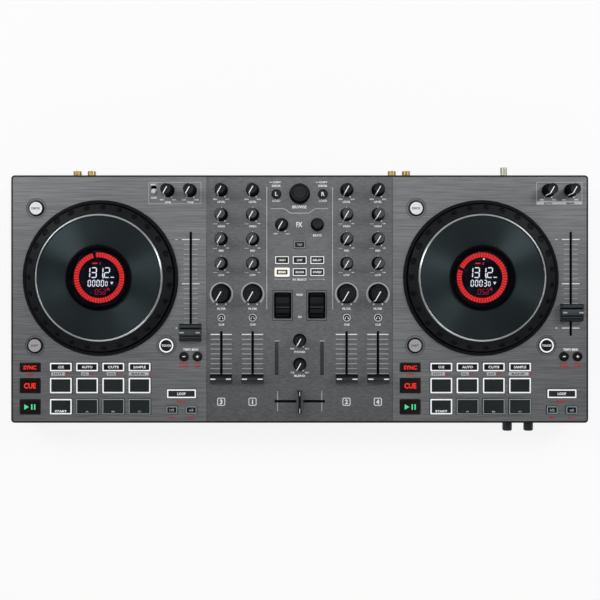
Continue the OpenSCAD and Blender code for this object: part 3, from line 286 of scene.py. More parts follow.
# every finish by its maker: a screen colour, or linear light, and then the maker's own values
finishes = {
    # roughness, grains a metre, bump depth in mm, specular level, and how far the tone varies
    mouldedPlastic: {
        "case": ("0f1011", 0.45), "rubber": ("121213", 0.8, 600, 0.06), "board": ("17452b", 0.4, 900, 0.02),
        "bodies": ("0c0d0e", 0.5, 900, 0.02, 0.1), "bezel": ("121316", 0.4, 900, 0.005, 0.09, 0.1),
        "grip": ("121517", 0.5, 1100, 0.03, 0.13), "dimple": ("090b0c", 0.45, 1100, 0.02, 0.08),
        # the near-black finish first on the next line paints shade: in the paddles' grooves, on their bevels,
        # in the gap round each paddle frame and round each fader's slot
        "hollow": ("050607", 0.6, 1100, 0.02, 0.03), "hub": ("020205", 0.4, 900, 0.004, 0.03),
        "screen": ("090b18", 0.4, 700, 0.005, 0.1), "meter": ("353a3e", 0.2, 700, 0.01),
        "knob": ("060708", 0.65, 1300, 0.04, 0.05), "knobTop": ("454b4e", 0.5, 1500, 0.03, 0.12),
        "knobDark": ("1e2224", 0.45, 1500, 0.03, 0.15), "browseTop": ("12171a", 0.45, 1500, 0.03),
        # on the next two lines: the darker cap finish is the crossfader's own dark top and painted shade on
        # the other caps, and the lighter cap finish and the edge finish are painted highlights
        "cap": ("15191b", 0.38, 1200), "capDark": ("0b0d0e", 0.5, 1200, 0.03, 0.15),
        "capLight": ("33393c", 0.4, 1200), "capEdge": ("4a4f52", 0.4, 1200),
        "crossSide": ("5b6063", 0.4, 1200), "paddle": ("0b0e10", 0.38, 1000, 0.015, 0.12),
        # the lighter paddle finish first on the next line is a painted highlight
        "paddleLit": ("1d2225", 0.38, 1000, 0.015, 0.16), "pad": ("1c2224", 0.55, 1000, 0.05, 0.2),
        "key": ("0f1113", 0.35, 1200, 0.02), "keyGlow": ("1c1012", 0.3, 1200, 0.02),
        "keyGrey": ("26292b", 0.4, 1200, 0.02), "keyWarm": ("57503f", 0.4, 1200, 0.02),
        "whiteCap": ("e9e9ea", 0.4, 900, 0.01, 0.25, 0.03), "greyCap": ("a3a3a7", 0.4, 900, 0.01, 0.25, 0.04),
    },
    # strokes a metre, how far the tone varies, metallic, roughness
    brushedPlate: {
        "plate": ("787a7c", 45, 0.4, 0.5, 0.38), "mixer": ("646567", 420, 0.4, 0.5, 0.38),
        "paddleFrame": ("696b6e", 420, 0.2, 0.3, 0.4),
    },
    # roughness, metallic
    spunMetal: {"platter": ("2f383b", 0.4, 0.85), "ring": ("d0d3d5", 0.3, 0.9)},
    turnedMetal: {
        "steel": ("55585c", 0.35), "bearing": ("b5b8bb", 0.25), "lip": ("4a4d50", 0.35),
        "lever": ("e2e4e5", 0.35, 0.2),
    },
    printedInk: {
        "white": ("fafbfc",), "faint": ("adafb1",), "red": ("b5242e",), "redFaint": ("6f4a52",),
        "dark": ("3a3b3d",), "tag": ("c6c7c9",), "ringInk": ("bec0c2",), "recess": ("505254",),
        "pointer": ("ffffff",), "capMark": ("aeb2b4",), "litDim": ("939fa0",), "meterEdge": ("74787c",),
        "meterDark": ("24272b",),
    },
    # strength, and the unlit body's share of the colour
    litPlastic: {
        "litWhite": ((0.96, 0.97, 0.98), 0.94, 0.1), "litWarm": ((1.0, 0.97, 0.88), 1.3),
        "litRed": ((0.95, 0.035, 0.02), 0.9), "litGreen": ((0.08, 0.8, 0.36), 0.9),
        "display": ((0.9, 0.93, 1.0), 1.0, 0.1), "displayRed": ((0.88, 0.035, 0.032), 0.97, 0.05),
        "displayLow": ((0.42, 0.003, 0.004), 0.95, 0.05), "deepRed": ((0.42, 0.012, 0.035), 0.9, 0.1),
    },
    clearWindow: {"window": ((0.86, 0.88, 0.92, 1),)},
    # gilt, nickel and black
    socketMetal: {"sockets": ("b09a63", "b9b7a8", "101012")},
}
finish = {}
for maker, table in finishes.items():
    for look, (colour, *values) in table.items():
        colour = hexColour(colour) if isinstance(colour, str) else colour
        finish[look] = maker(f"{look}_{maker.__name__}", colour, *values)
print("materials", len(finish))


def waved(steps):
    # a smooth rise from 0 to 1
    t = np.clip(steps, 0, 1)
    return t * t * (3 - 2 * t)


def circle(angle):
    return np.stack([np.cos(angle), np.sin(angle)], -1)


class Build:
    # gathers surfaces and flat shapes, each in the finish in use, into one piece
    def __init__(self, look):
        self.points, self.faces, self.paint, self.looks = [], [], [], []
        self.count = 0
        self.use(look)

    def use(self, look):
        if look not in self.looks:
            self.looks.append(look)
        self.current = self.looks.index(look)
        return self

    def add(self, points, faces, paint=None):
        points = np.asarray(points, dtype=float)
        self.points.append(points)
        self.faces += [[i + self.count for i in face] for face in faces]
        self.paint += paint or [self.current] * len(faces)
        self.count += len(points)

    def grid(self, points, bands=(), place=None, spots=None):
        # rows x columns x 3 points, whose columns join up; bands name each row step's finish,
        # spots are a mask of squares and their finish, and points at one place become one
        rows, columns = points.shape[:2]
        number = np.arange(rows * columns).reshape(rows, columns)
        number = np.concatenate([number, number[:, :1]], axis=1)
        quads = np.stack([number[:-1, :-1], number[:-1, 1:], number[1:, 1:], number[1:, :-1]], -1)
        paint = np.full(quads.shape[:2], self.current)
        for row, look in enumerate(bands):
            paint[row] = self.use(look).current
        if spots:
            paint[spots[0]] = self.use(spots[1]).current
        quads, paint = quads.reshape(-1, 4), paint.ravel()
        flat = points.reshape(-1, 3)
        first, same = np.unique(np.round(flat, 4), axis=0, return_index=True, return_inverse=True)[1:]
        quads = same.ravel()[quads]
        kept = quads != np.roll(quads, -1, axis=1)
        whole = kept.all(1)
        faces, colours = quads[whole].tolist(), paint[whole].tolist()
        for quad, keep, colour in zip(*(part[~whole].tolist() for part in (quads, kept, paint))):
            face = [corner for corner, k in zip(quad, keep) if k]
            if len(set(face)) > 2:
                faces.append(face)
                colours.append(colour)
        flat = flat[first]
        self.add(place(flat) if place else flat, faces, colours)

    def lathe(self, profile, middle=(0, 0, 0), count=48, radius=None, bands=(), place=None):
        # a profile of (radius, height) turned round an upright axis; radius may be a
        # function that waves the radius with height and angle
        profile = np.asarray(profile, dtype=float)
        angle = np.arange(count) * turn / count
        r, z = (profile[:, i:i + 1] * np.ones(count) for i in (0, 1))
        if radius:
            r = radius(r, z, angle[None, :])
        points = np.stack([r * np.cos(angle), r * np.sin(angle), z], -1) + np.asarray(middle)
        self.grid(points, bands, place)

    def shell(self, outline, profile, x, y, bands=()):
        # an outline (a function of its inset) carried up a profile of (inset, height)
        rows = [np.column_stack([outline(inset), np.full(len(outline(0)), z)]) for inset, z in profile]
        rows = [rows[0] * [0, 0, 1]] + rows + [rows[-1] * [0, 0, 1]]
        self.grid(np.stack(rows) + [x, y, 0], bands)

    def box(self, low, high, place=None):
        (x0, y0, z0), (x1, y1, z1) = low, high
        points = np.array([(x, y, z) for z in (z0, z1) for y in (y0, y1) for x in (x0, x1)])
        self.add(place(points) if place else points,
                 [[0, 2, 3, 1], [4, 5, 7, 6], [0, 1, 5, 4], [2, 6, 7, 3], [0, 4, 6, 2], [1, 3, 7, 5]])

    def put(self, name, body="console", slot="window_acrylic", replaces=(), crease=35):
        # the finished piece: its place is in its mesh, and it rides on a body
        mesh = bpy.data.meshes.new(name)
        mesh.from_pydata((np.concatenate(self.points) * mm).tolist(), [], self.faces)
        for look in self.looks:
            mesh.materials.append(finish[look])
        mesh.polygons.foreach_set("material_index", self.paint)
        mesh.polygons.foreach_set("use_smooth", [True] * len(mesh.polygons))
        mesh.set_sharp_from_angle(angle=math.radians(crease))
        mesh.update()
        piece = bpy.data.objects.new(name, mesh)
        bpy.context.scene.collection.objects.link(piece)
        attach(piece, body)
        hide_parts(*replaces)


def rounded(width, depth, radius=0.9, steps=4):
    # outline of a rounded rectangle, four quarter circles, as a function of its inset
    quarter = np.linspace(0, np.pi / 2, steps + 1)
    angle = np.concatenate([quarter + k * np.pi / 2 for k in range(4)])
    side = np.repeat([[1, 1], [-1, 1], [-1, -1], [1, -1]], steps + 1, axis=0)

    def outline(inset):
        r = max(radius - inset, 0.05)
        halves = np.maximum(np.array([width, depth]) / 2 - inset - r, 0)
        return side * halves + r * circle(angle)
    return outline


def disc(diameter, count=48):
    # outline of a circle, as a function of its inset
    return lambda inset: (diameter / 2 - inset) * circle(np.arange(count) * turn / count)


inkStyle = {"thick": 0.05, "lift": 0.02, "bolder": 0.035}
wordCache = {}


def fontShape(word):
    # a word's outline from the font, made bolder, and filled
    curve = bpy.data.curves.new("word", "FONT")
    curve.body = word
    curve.resolution_u = 2
    curve.offset = inkStyle["bolder"]
    holder = bpy.data.objects.new("word", curve)
    bpy.context.scene.collection.objects.link(holder)
    bpy.context.view_layer.update()
    mesh = holder.evaluated_get(bpy.context.evaluated_depsgraph_get()).to_mesh()
    points = np.empty(len(mesh.vertices) * 3)
    mesh.vertices.foreach_get("co", points)
    # a bold letter's outline can fold over itself: a small face that repeats an edge is left out
    faces, used = [], set()
    for p in sorted(mesh.polygons, key=lambda p: -p.area):
        face = list(p.vertices)[::1 if p.normal.z > 0 else -1]
        edges = set(zip(face, face[1:] + face[:1]))
        if not edges & used:
            faces.append(face)
            used |= edges
    holder.to_mesh_clear()
    bpy.data.objects.remove(holder)
    bpy.data.curves.remove(curve)
    return points.reshape(-1, 3)[:, :2], faces


def wordShape(word):
    # each word is made once, with capitals one high and its middle at the origin
    for text in ("H", word):
        if text not in wordCache:
            wordCache[text] = fontShape(text)
    points, faces = wordCache[word]
    capital = wordCache["H"][0][:, 1].max()
    middle = [(points[:, 0].min() + points[:, 0].max()) / 2, capital / 2]
    return (points - middle) / capital, faces


class Print(Build):
    # flat marks lying on a surface, with ink's thickness
    def __init__(self, look, height):
        super().__init__(look)
        self.height, self.thick = height + inkStyle["lift"], inkStyle["thick"]

    def flat(self, points, faces):
        # the top, the underside and the walls along free edges
        points = np.asarray(points, dtype=float)
        count, foot = len(points), self.height
        top, low = (np.column_stack([points, np.full(count, z)]) for z in (foot + self.thick, foot))
        edges = {(a, b) for face in faces for a, b in zip(face, face[1:] + face[:1])}
        walls = [[b, a, a + count, b + count] for a, b in sorted(edges) if (b, a) not in edges]
        self.add(np.concatenate([top, low]),
                 [list(f) for f in faces] + [[i + count for i in f[::-1]] for f in faces] + walls)

    def bar(self, x, y, width, depth):
        w, d = width / 2, depth / 2
        self.flat([(x - w, y - d), (x + w, y - d), (x + w, y + d), (x - w, y + d)], [[0, 1, 2, 3]])

    def line(self, points, width):
        # a polyline of constant width, mitred at its bends
        points = np.asarray(points, dtype=float)
        way = np.diff(points, axis=0)
        way /= np.linalg.norm(way, axis=1, keepdims=True)
        side = np.stack([-way[:, 1], way[:, 0]], -1)
        bend = side[:-1] + side[1:]
        bend /= np.maximum((bend * side[1:]).sum(1, keepdims=True), 0.2)
        across = np.concatenate([side[:1], bend, side[-1:]]) * width / 2
        both = np.stack([points + across, points - across], 1).reshape(-1, 2)
        self.flat(both, [[2 * i, 2 * i + 1, 2 * i + 3, 2 * i + 2] for i in range(len(points) - 1)])

    def ring(self, x, y, inner, outer, start=0.0, end=360.0, count=64):
        # a band between two radii, each one number or one for every step of the angle
        angle = np.radians(np.linspace(start, end, count + 1))
        radii = [np.broadcast_to(r, angle.shape)[:, None] for r in (inner, outer)]
        points = np.stack([circle(angle) * r for r in radii], 1).reshape(-1, 2)
        if end - start >= 360:
            points = points[:-2]
        total = len(points)
        self.flat(points + [x, y], [[2 * i, 2 * i + 1, (2 * i + 3) % total, (2 * i + 2) % total]
                                    for i in range(count)])

    def disc(self, x, y, radius, count=20):
        self.flat(disc(2 * radius, count)(0) + [x, y], [list(range(count))])

    def between(self, outer, inner, x, y):
        # the band between two outlines with as many points
        count = len(outer)
        self.flat(np.concatenate([outer, inner]) + [x, y],
                  [[i, (i + 1) % count, count + (i + 1) % count, count + i] for i in range(count)])

    def frame(self, x, y, width, depth, line, radius=0.4):
        outline = rounded(width, depth, radius, 3)
        self.between(outline(0), outline(line), x, y)

    def word(self, x, y, text, height, width=None):
        # capitals of this height, squeezed or spread to width where it is given
        points, faces = wordShape(text)
        across = width / np.ptp(points[:, 0]) if width else height
        self.flat(points * [across, height] + [x, y], faces)


def marks(ink, at, rows, look="white"):
    # marks round a place: kind, how far across and up, and the kind's own values;
    # bars and discs stand at both sides
    ink.use(look)
    for kind, across, up, *values in rows:
        for s in (-1, 1) if kind in ("bars", "discs") else (1,):
            getattr(ink, kind.rstrip("s"))(at[0] + s * across, at[1] + up, *values)


jogStyle = {
    "around": 1080, "dimples": 27, "dimpleR": 70.2, "dimpleDepth": 1.8, "dimpleWide": 0.23, "dimpleLong": 3.3,
    "ringInner": 61.6, "ringOuter": 63.3, "edge": 0.9, "hubOuter": 31.9, "hubGap": 0.5, "windowR": 27.6,
    "segments": 54, "lightInner": 20.1, "lightOuter": 24.9, "segmentShare": 0.6, "lean": 0.8,
    "screenDrop": 1.5, "hubDrop": 1.98,
}


def jogGrip(side, x, y, outer, top, low):
    # A profile turned round the wheel. Its band falls gently outwards, and the height drops
    # into the finger dimples by a smooth dip inside an ellipse of angle and radius; the faces near each dip's
    # floor are painted darker as shade.
    inner = jogStyle["ringOuter"]
    bandIn, bandOut = inner + 0.9, outer - jogStyle["edge"]
    t = np.linspace(0, 1, 21)
    band = np.column_stack([bandIn + (bandOut - bandIn) * t, top - 1.5 - 2.9 * t ** 1.25])
    profile = np.array([
        (inner + 0.03, top - 4), (inner + 0.03, top - 2.1), (inner + 0.3, top - 1.7), *band,
        (outer - 0.45, top - 4.7), (outer - 0.12, top - 5.1), (outer, top - 5.7), (outer, low + 0.6),
        (outer - 0.4, low), (outer - 2.2, low), (outer - 2.2, top - 7.4), (inner + 2.5, top - 4),
        (inner + 0.03, top - 4)])
    angle = np.arange(jogStyle["around"]) * turn / jogStyle["around"]
    r, z = (profile[:, i:i + 1] * np.ones(len(angle)) for i in (0, 1))
    share = (angle * jogStyle["dimples"] / turn) % 1 - 0.5
    away = np.hypot(share / jogStyle["dimpleWide"], (r - jogStyle["dimpleR"]) / jogStyle["dimpleLong"])
    onTop = (z > top - 5) & (r > bandIn - 0.1)
    z = z - onTop * jogStyle["dimpleDepth"] * waved(2 * (1 - away))
    points = np.stack([x + r * np.cos(angle), y + r * np.sin(angle), z], -1)
    # the faces near each dip's floor are painted darker: painted shade in the grip's dimples
    deep = ((away < 0.65) & onTop)[::-1]
    build = Build("grip")
    build.grid(points[::-1], spots=(deep[:-1] & deep[1:], "dimple"))
    build.put(side + "_jog_grip", side + "_jog_wheel", "jog_plastic", (side + "_jog_wheel",), 60)


def jogTop(side, middle):
    # the spun platter, a very flat cone, and the bright ring, a band that slopes outwards
    inner, outer = jogStyle["ringInner"], jogStyle["ringOuter"]
    bore = jogStyle["hubOuter"] + jogStyle["hubGap"]
    t = np.linspace(0, 1, 12)
    dish = np.column_stack([inner - 0.1 - (inner - bore - 0.3) * t, -1.2 + 0.9 * t])
    platter = [(bore + 2.5, -3.8), (inner, -3.8), (inner, -1.4), *dish, (bore, -0.5), (bore, -6),
               (bore + 2.5, -6), (bore + 2.5, -3.8)]
    ring = [(inner + 0.01, -2.4), (outer, -2.4), (outer, -1.6), (outer - 0.1, -1.45), (inner + 0.4, -0.06),
            (inner + 0.2, 0), (inner + 0.01, -0.1), (inner + 0.01, -2.4)]
    for look, profile, crease in (("platter", platter, 35), ("ring", ring, 50)):
        build = Build(look)
        build.lathe(profile, middle, 360)
        build.put(f"{side}_jog_{look}", side + "_jog_wheel", "jog_plastic", crease=crease)


# the bars of a seven-bar numeral: which each figure lights, and each bar's two ends
numerals = {"0": "abcdef", "1": "bc", "2": "abged", "3": "abgcd", "5": "afgcd", "a": "abcegd"}
bars = {"a": ((0, 1), (1, 1)), "b": ((1, 1), (1, 0.5)), "c": ((1, 0.5), (1, 0)), "d": ((0, 0), (1, 0)),
        "e": ((0, 0.5), (0, 0)), "f": ((0, 1), (0, 0.5)), "g": ((0, 0.5), (1, 0.5))}


def numeral(ink, text, at, across, up, height, pitch, thick, slant=0.08, share=0.5):
    # each bar is a long hexagon; a numeral's width is a share of its height, and it leans by slant
    x, y = at[0] + across, at[1] + up
    for figure in text:
        if figure == ".":
            ink.bar(x - pitch * 0.2, y - height / 2 - 0.2, thick, thick)
            continue
        for bar in numerals[figure]:
            a, b = (np.array(p) * [height * share, height] - [0, height / 2] for p in bars[bar])
            way = (b - a) / np.linalg.norm(b - a) * thick / 2
            across = np.array([-way[1], way[0]])
            a, b = a + way * 0.3, b - way * 0.3
            shape = np.array([a, a + way - across, b - way - across, b, b - way + across, a + way + across])
            ink.flat(shape + np.column_stack([shape[:, 1] * slant, np.zeros(6)]) + [x, y], [list(range(6))])
        x += pitch


def jogHub(side, middle):
    # the fixed hub, turned on the wheel's axis: a black bezel, a thin lip and a clear window
    outer, r, deep = jogStyle["hubOuter"], jogStyle["windowR"], -jogStyle["hubDrop"]
    for part, count, profile, replaced in (
            ("bezel", 240, [(r, deep), (outer, deep), (outer, -0.35), (outer - 0.1, -0.12), (outer - 0.35, 0),
                            (r + 0.2, 0), (r, -0.12), (r, deep)], ("display_windows",)),
            ("lip", 240, [(r - 0.25, deep), (r - 0.01, deep), (r - 0.01, -0.35), (r - 0.22, -0.1),
                          (r - 0.25, -0.3), (r - 0.25, deep)], ()),
            ("window", 120, [(0, -0.8), (r - 0.27, -0.8), (r - 0.27, -0.45), (r - 0.45, -0.3),
                             (0, -0.3)], ())):
        build = Build("hub" if part == "bezel" else part)
        build.lathe(profile, middle, count)
        build.put(f"{side}_hub_{part}", replaces=replaced)


# what each display shows: beats a minute, minutes and seconds, tenths, deck, and where its ring is open
readings = {"left": ("131.2", "0000", "0", "1", 98), "right": ("131.2", "0003", "0", "2", 154)}
displayStyle = {
    # across, up, height, pitch, thickness of the bars, slant, and width as a share of the height
    "beats": (-14.0, 5.0, 9.6, 6.45, 1.05, 0.05), "clock": (-10.9, -5.5, 5.9, 4.3, 0.85, 0.04, 0.42),
    "tenths": (6.2, -6.0, 4.4, 3, 0.7, 0.04, 0.42), "key": (-3.9, -14, 5.0, 3.8, 0.5),
    "arrow": [(12.5, -6.9), (14.0, -4.2), (11.0, -4.2)], "deck": (1.2, 14.2), "deckSize": 2.2,
}


def display(side, x, y, height):
    # the dark screen, the red ring in its segments, and the white and red figures
    beats, clock, tenths, deck, gap = readings[side]
    screen = Print("screen", height - 0.07)
    screen.disc(x, y, jogStyle["windowR"] - 0.3, 120)
    screen.put(side + "_display_screen")
    # the display sits a little nearer the console's middle than its window
    x -= math.copysign(jogStyle["lean"], x)
    step, share = 360 / jogStyle["segments"], jogStyle["segmentShare"]
    radii = jogStyle["lightInner"], jogStyle["lightOuter"]
    lit = Print("displayLow", height)
    lit.ring(x, y, *radii, gap + step, gap + 360, 140)
    lit.use("displayRed").height += 0.06
    for i in range(1, jogStyle["segments"]):
        start = gap + step * (i + 0.5 - share / 2)
        lit.ring(x, y, *radii, start, start + step * share, 3)
    at = (x, y)
    deckWord = ("word", *displayStyle["deck"], deck, displayStyle["deckSize"])
    marks(lit, at, [("bar", -4.1, 14.2, 5.0, 1.1), deckWord], "displayRed")
    lit.put(side + "_display_ring")
    white = Print("display", height)
    numeral(white, beats, at, *displayStyle["beats"])
    marks(white, at, [("bar", 13.0, 0.4, 3.2, 0.9)], "display")
    numeral(white, clock, at, *displayStyle["clock"])
    numeral(white, tenths, at, *displayStyle["tenths"])
    white.flat(np.array(displayStyle["arrow"]) + at, [[0, 1, 2]])
    if side == "right":
        marks(white, at, [("disc", 1.8, 18.4, 0.9, 12)], "display")
    white.put(side + "_display_figures")
    key = Print("deepRed", height)
    numeral(key, "05a", at, *displayStyle["key"])
    marks(key, at, [("bar", 8.9, -11.3, 2.4, 2.6)], "deepRed")
    key.put(side + "_display_key")


hubTop = boxOf("display_windows")[1][2]
for side in sides:
    low, high = boxOf(side + "_jog_wheel")
    (x, y), outer = (low[:2] + high[:2]) / 2, (high[0] - low[0]) / 2
    jogGrip(side, x, y, outer, high[2], low[2])
    jogTop(side, (x, y, high[2]))
    jogHub(side, (x, y, hubTop))
    display(side, x, y, hubTop - jogStyle["screenDrop"])
print("jog wheels")


knobStyle = {
    "flutes": 12, "flute": 0.35, "fluteWide": 0.13, "rest": math.radians(240), "skirt": 2.4, "mark": 0.85,
    "markThick": 0.16, "shaft": 3.0, "gap": 0.6, "pointerStart": -2.3, "frontFlute": 0.4,
    "plain": (6.6, 5.6, 5.3, ()), "filter": (9.7, 8.5, 8.1, (6.2, 3.6)), "browse": (10.3, 9.5, 9.0, (6.8,)),
}


def axisOf(body):
    return np.array(jointOf(body)["pos_m"]) / mm


def fluteBell(angle, flutes):
    # 1 in the middle of each flute and 0 between them, by a narrow bell of angle
    share = (angle * flutes / turn) % 1 - 0.5
    return np.exp(-(share / knobStyle["fluteWide"]) ** 2)


def knob(node, kind="plain", top="knobDark", flutes=knobStyle["flutes"], pointer=True):
    # a profile turned round the shaft; above the skirt the radius dips at each flute,
    # and the pointer is a strip carried along the same profile
    low, high = boxOf(node)
    x, y = axisOf(node)[:2]
    foot, neck, crown, rings = knobStyle[kind]      # radii of the skirt, the grip's ends and the rings
    z0, z1 = plateZ + knobStyle["gap"], high[2] - 0.2
    zs = z0 + knobStyle["skirt"]
    t = np.linspace(0, 1, 7)
    grip = neck + (crown - neck) * t - 0.2 * np.sin(np.pi * t)
    shaft = knobStyle["shaft"]
    grooves = [(r + out, z1 - deep) for r in rings
               for out, deep in ((0.35, 0.1), (0.25, 0.45), (-0.25, 0.45), (-0.35, 0.1))]
    profile = [(0, low[2]), (shaft, low[2]), (shaft, z0), (foot - 0.3, z0), (foot, z0 + 0.3),
               (foot, zs - 0.7), (foot - 0.2, zs - 0.25), (foot - 0.7, zs), (neck + 0.3, zs + 0.05),
               *np.column_stack([grip, zs + 0.5 + (z1 - zs - 1.4) * t]), (crown - 0.1, z1 - 0.4),
               (crown - 0.3, z1 - 0.12), (crown - 0.6, z1), (crown - 0.85, z1 - 0.1), *grooves, (0, z1 - 0.1)]

    def fluted(r, z, angle):
        height = waved((z - zs - 0.3) / 1.2) * (r > crown - 0.45)
        return r - knobStyle["flute"] * fluteBell(angle - knobStyle["rest"], flutes) * height

    build = Build("knob")
    bands = ["knob"] * (len(profile) - len(grooves) - 4) + [top, top]
    # each groove's three faces take the near-black knob finish: painted shade in the grooves
    bands += ([top] + ["knob"] * 3) * len(rings) + [top]
    build.lathe(profile, (x, y, 0), flutes * 12, fluted, bands)
    if pointer:
        # each point of the pointer's path, and the way that it stands out there
        path, out = np.array([
            ((knobStyle["pointerStart"], z1), (0, 1)), ((crown - 0.6, z1), (0, 1)),
            ((crown - 0.1, z1 - 0.3), (0.7, 0.7)), ((crown + 0.1, z1 - 0.9), (1, 0.2)),
            ((neck + 0.1, zs + 0.6), (0.9, 0.4)), ((neck + 0.5, zs + 0.1), (0.2, 1)),
            ((foot - 0.8, zs + 0.05), (0, 1))]).swapaxes(0, 1)
        out = out * knobStyle["markThick"]
        half = knobStyle["mark"] / 2 * np.ones((len(path), 1))
        rows = np.stack([np.hstack([path + s * out, t * half])
                         for s, t in ((-1, -1), (-1, 1), (1, 1), (1, -1))], 1)
        ends = [rows[i:i + 1].mean(1, keepdims=True).repeat(4, 1) for i in (0, len(path) - 1)]
        r, z, side = np.moveaxis(np.concatenate([ends[0], rows, ends[1]]), -1, 0)
        c, s = math.cos(knobStyle["rest"]), math.sin(knobStyle["rest"])
        build.use("pointer").grid(np.stack([x + r * c - side * s, y + r * s + side * c, z], -1))
    build.put(node + "_cap", node, "knob_plastic", (node,))


def frontKnob(node):
    # the same turned and fluted form, small, with its axis towards the user
    low, high = boxOf(node)
    x, _, z = axisOf(node)
    grip, depth = (high[0] - low[0]) / 2, high[1] - low[1]
    face = caseFront - low[1]
    profile = [(0, face - depth), (3, face - depth), (3, 0.6), (grip - 0.3, 0.5), (grip, 0.9),
               (grip, face - 1.2), (grip - 0.35, face - 0.4), (grip - 1, face),
               (grip - 1.3, face - 0.15), (0, face - 0.1)]

    def fluted(r, h, angle):
        dip = knobStyle["frontFlute"] * fluteBell(angle, knobStyle["flutes"])
        return r - dip * (r > grip - 0.4) * waved(h - 1)

    def toFront(points):
        return np.column_stack([x + points[:, 0], caseFront - points[:, 2], z + points[:, 1]])

    build = Build("knob")
    # the sides take the lighter cap finish, a painted highlight, and the front face takes the plain one
    build.lathe(profile, count=144, radius=fluted, bands=["capLight"] * 8 + ["cap"], place=toFront)
    build.put(node + "_cap", node, "knob_plastic", (node,))


channels = (1, 2, 3, 4)
for c in channels:
    knob(f"channel_{c}_level_knob")
    for band in ("treble", "mid", "bass"):
        knob(f"channel_{c}_{band}_knob", top="knobTop")
    knob(f"channel_{c}_filter_knob", "filter")
for name in ("mic_level", "mic_tone", "booth_level", "main_level", "effect_depth", "cue_gain", "cue_mix"):
    knob(name + "_knob")
knob("beats_knob", top="browseTop", pointer=False)
knob("browse_knob", "browse", "browseTop", 24, False)
for side in sides:
    frontKnob(f"front_{side}_knob")
print("knobs")


def carried(across, along, level, bottom):
    # a section carried along a piece: one row for every place, over the top at its level
    # and back along the underside
    flat = 0 * level
    top, under = (np.stack([across + flat, along + flat, z + flat], -1) for z in (level, bottom))
    return np.concatenate([top, under[:, ::-1]], axis=1)


# each cap's steps from its rear edge: place, height share and the finish up to the next
# the darker finish paints shade on the end walls and in the dips, and is the crossfader's own dark top; the
# lighter and edge finishes paint highlights on raised bands and on the channel cap's front edge
capStyle = {
    "tempo": [
        (0, 0, "capDark"), (0, 0.45, "capDark"), (0.4, 0.78, "capDark"), (1.0, 0.94, "capLight"),
        (1.3, 1, "capLight"), (3.5, 1, "cap"), (3.9, 0.74, "capDark"), (5.2, 0.74, "cap"),
        (5.6, 0.88, "capLight"), (5.9, 0.9, "capLight"), (11.4, 0.9, "cap"), (11.8, 0.74, "capDark"),
        (12.5, 0.74, "cap"), (12.8, 0.96, "capLight"), (14.2, 0.96, "cap"), (14.5, 0.78, "capDark"),
        (15.2, 0.78, "cap"), (15.4, 0.88, "capLight"), (16.2, 0.86, "cap"), (16.6, 0.66, "capDark"),
        (17.4, 0.5, "capDark"), (17.5, 0, "capDark")],
    "channel": [
        (0, 0, "capDark"), (0, 0.45, "capDark"), (0.3, 0.56, "capDark"), (1.4, 0.74, "cap"),
        (2.2, 0.95, "cap"), (2.6, 1, "cap"), (3.2, 0.97, "capLight"),
        (3.8, 0.88, "capLight"), (4.9, 0.88, "capLight"),
        (5.5, 0.97, "cap"), (6.0, 1, "capDark"), (6.4, 0.92, "capDark"), (6.8, 0.74, "capEdge"),
        (7.8, 0.66, "capDark"), (8.5, 0.5, "capDark"), (8.6, 0, "capDark")],
    "cross": [
        (0, 0, "crossSide"), (0, 0.4, "crossSide"), (0.25, 0.52, "crossSide"), (1.2, 0.93, "capDark"),
        (1.4, 1, "capDark"), (3.35, 0.94, "capDark"), (5.3, 1, "capDark"), (5.5, 0.93, "crossSide"),
        (6.45, 0.52, "crossSide"), (6.7, 0.4, "crossSide"), (6.7, 0, "crossSide")],
    "waist": {"cross": (0, 0, 0, 0.9, 0.9, 0, -0.9, -0.9, 0, 0, 0)},
    "marks": {"tempo": (8.65, 4.4, 1.3), "channel": (4.35, 5.0, 1.2), "cross": (3.35, 4.0, 1.5)},
    "stem": (0.5, 2.5), "foot": (2.0, 4.0, 3.0), "gap": 0.8,
}


def faderCap(node, kind, sideways=False):
    # The section's height steps with the place, its top edges are rounded, and a waist
    # draws a step towards the middle by a bow across the cap.
    low, high = boxOf(node)
    x, y = (low[:2] + high[:2]) / 2
    half = (high - low)[int(sideways)] / 2
    base, tall = plateZ + capStyle["gap"], high[2] - plateZ - capStyle["gap"]
    steps = capStyle[kind]
    edge = np.array([0, 0.12, 0.4, 0.9])
    across = np.concatenate([edge - half, np.linspace(1.6 - half, half - 1.6, 9), half - edge[::-1]])
    drop = np.interp(half - np.abs(across), edge, edge[::-1])
    bow = 1 - (across / half) ** 2
    place, height = (np.array([step[i] for step in steps])[:, None] for i in (0, 1))
    waist = np.reshape(capStyle["waist"].get(kind, [0] * len(steps)), (-1, 1))
    level = base + np.maximum(height * tall - drop, 0) * (height > 0)
    middle = steps[-1][0] / 2
    points = carried(across, middle - place - waist * bow, level, base)

    def placed(points):
        if sideways:
            points = np.column_stack([points[:, 1], -points[:, 0], points[:, 2]])
        return points + [x, y, 0]

    build = Build("cap")
    # each step's finish: painted shade in the dips and at the ends, painted highlights on the raised bands
    build.grid(points[::-1], [step[2] for step in steps[-2::-1]], placed)
    at, long, wide = capStyle["marks"][kind]
    top = base + tall * float(np.interp(at, place.ravel(), height.ravel()))
    build.use("capMark" if kind == "tempo" else "pointer")
    for s in (-1, 1):
        left, right = sorted((s * (half - 0.6), s * (half - 0.6 - long)))
        front, rear = middle - at - wide / 2, middle - at + wide / 2
        build.box((left, front, top - 0.5), (right, rear, top + 0.08), placed)
    stem, foot = capStyle["stem"], capStyle["foot"]
    neck = low[2] + foot[2]
    build.use("cap")
    build.box((-stem[0], -stem[1], neck), (*stem, base + 0.2), placed)
    build.box((-foot[0], -foot[1], low[2]), (*foot[:2], neck), placed)
    build.put(node + "_cap", node, "fader_plastic", (node,))


for side in sides:
    faderCap(side + "_tempo_fader", "tempo")
for c in channels:
    faderCap(f"channel_{c}_fader", "channel")
faderCap("crossfader", "cross", True)
print("faders")
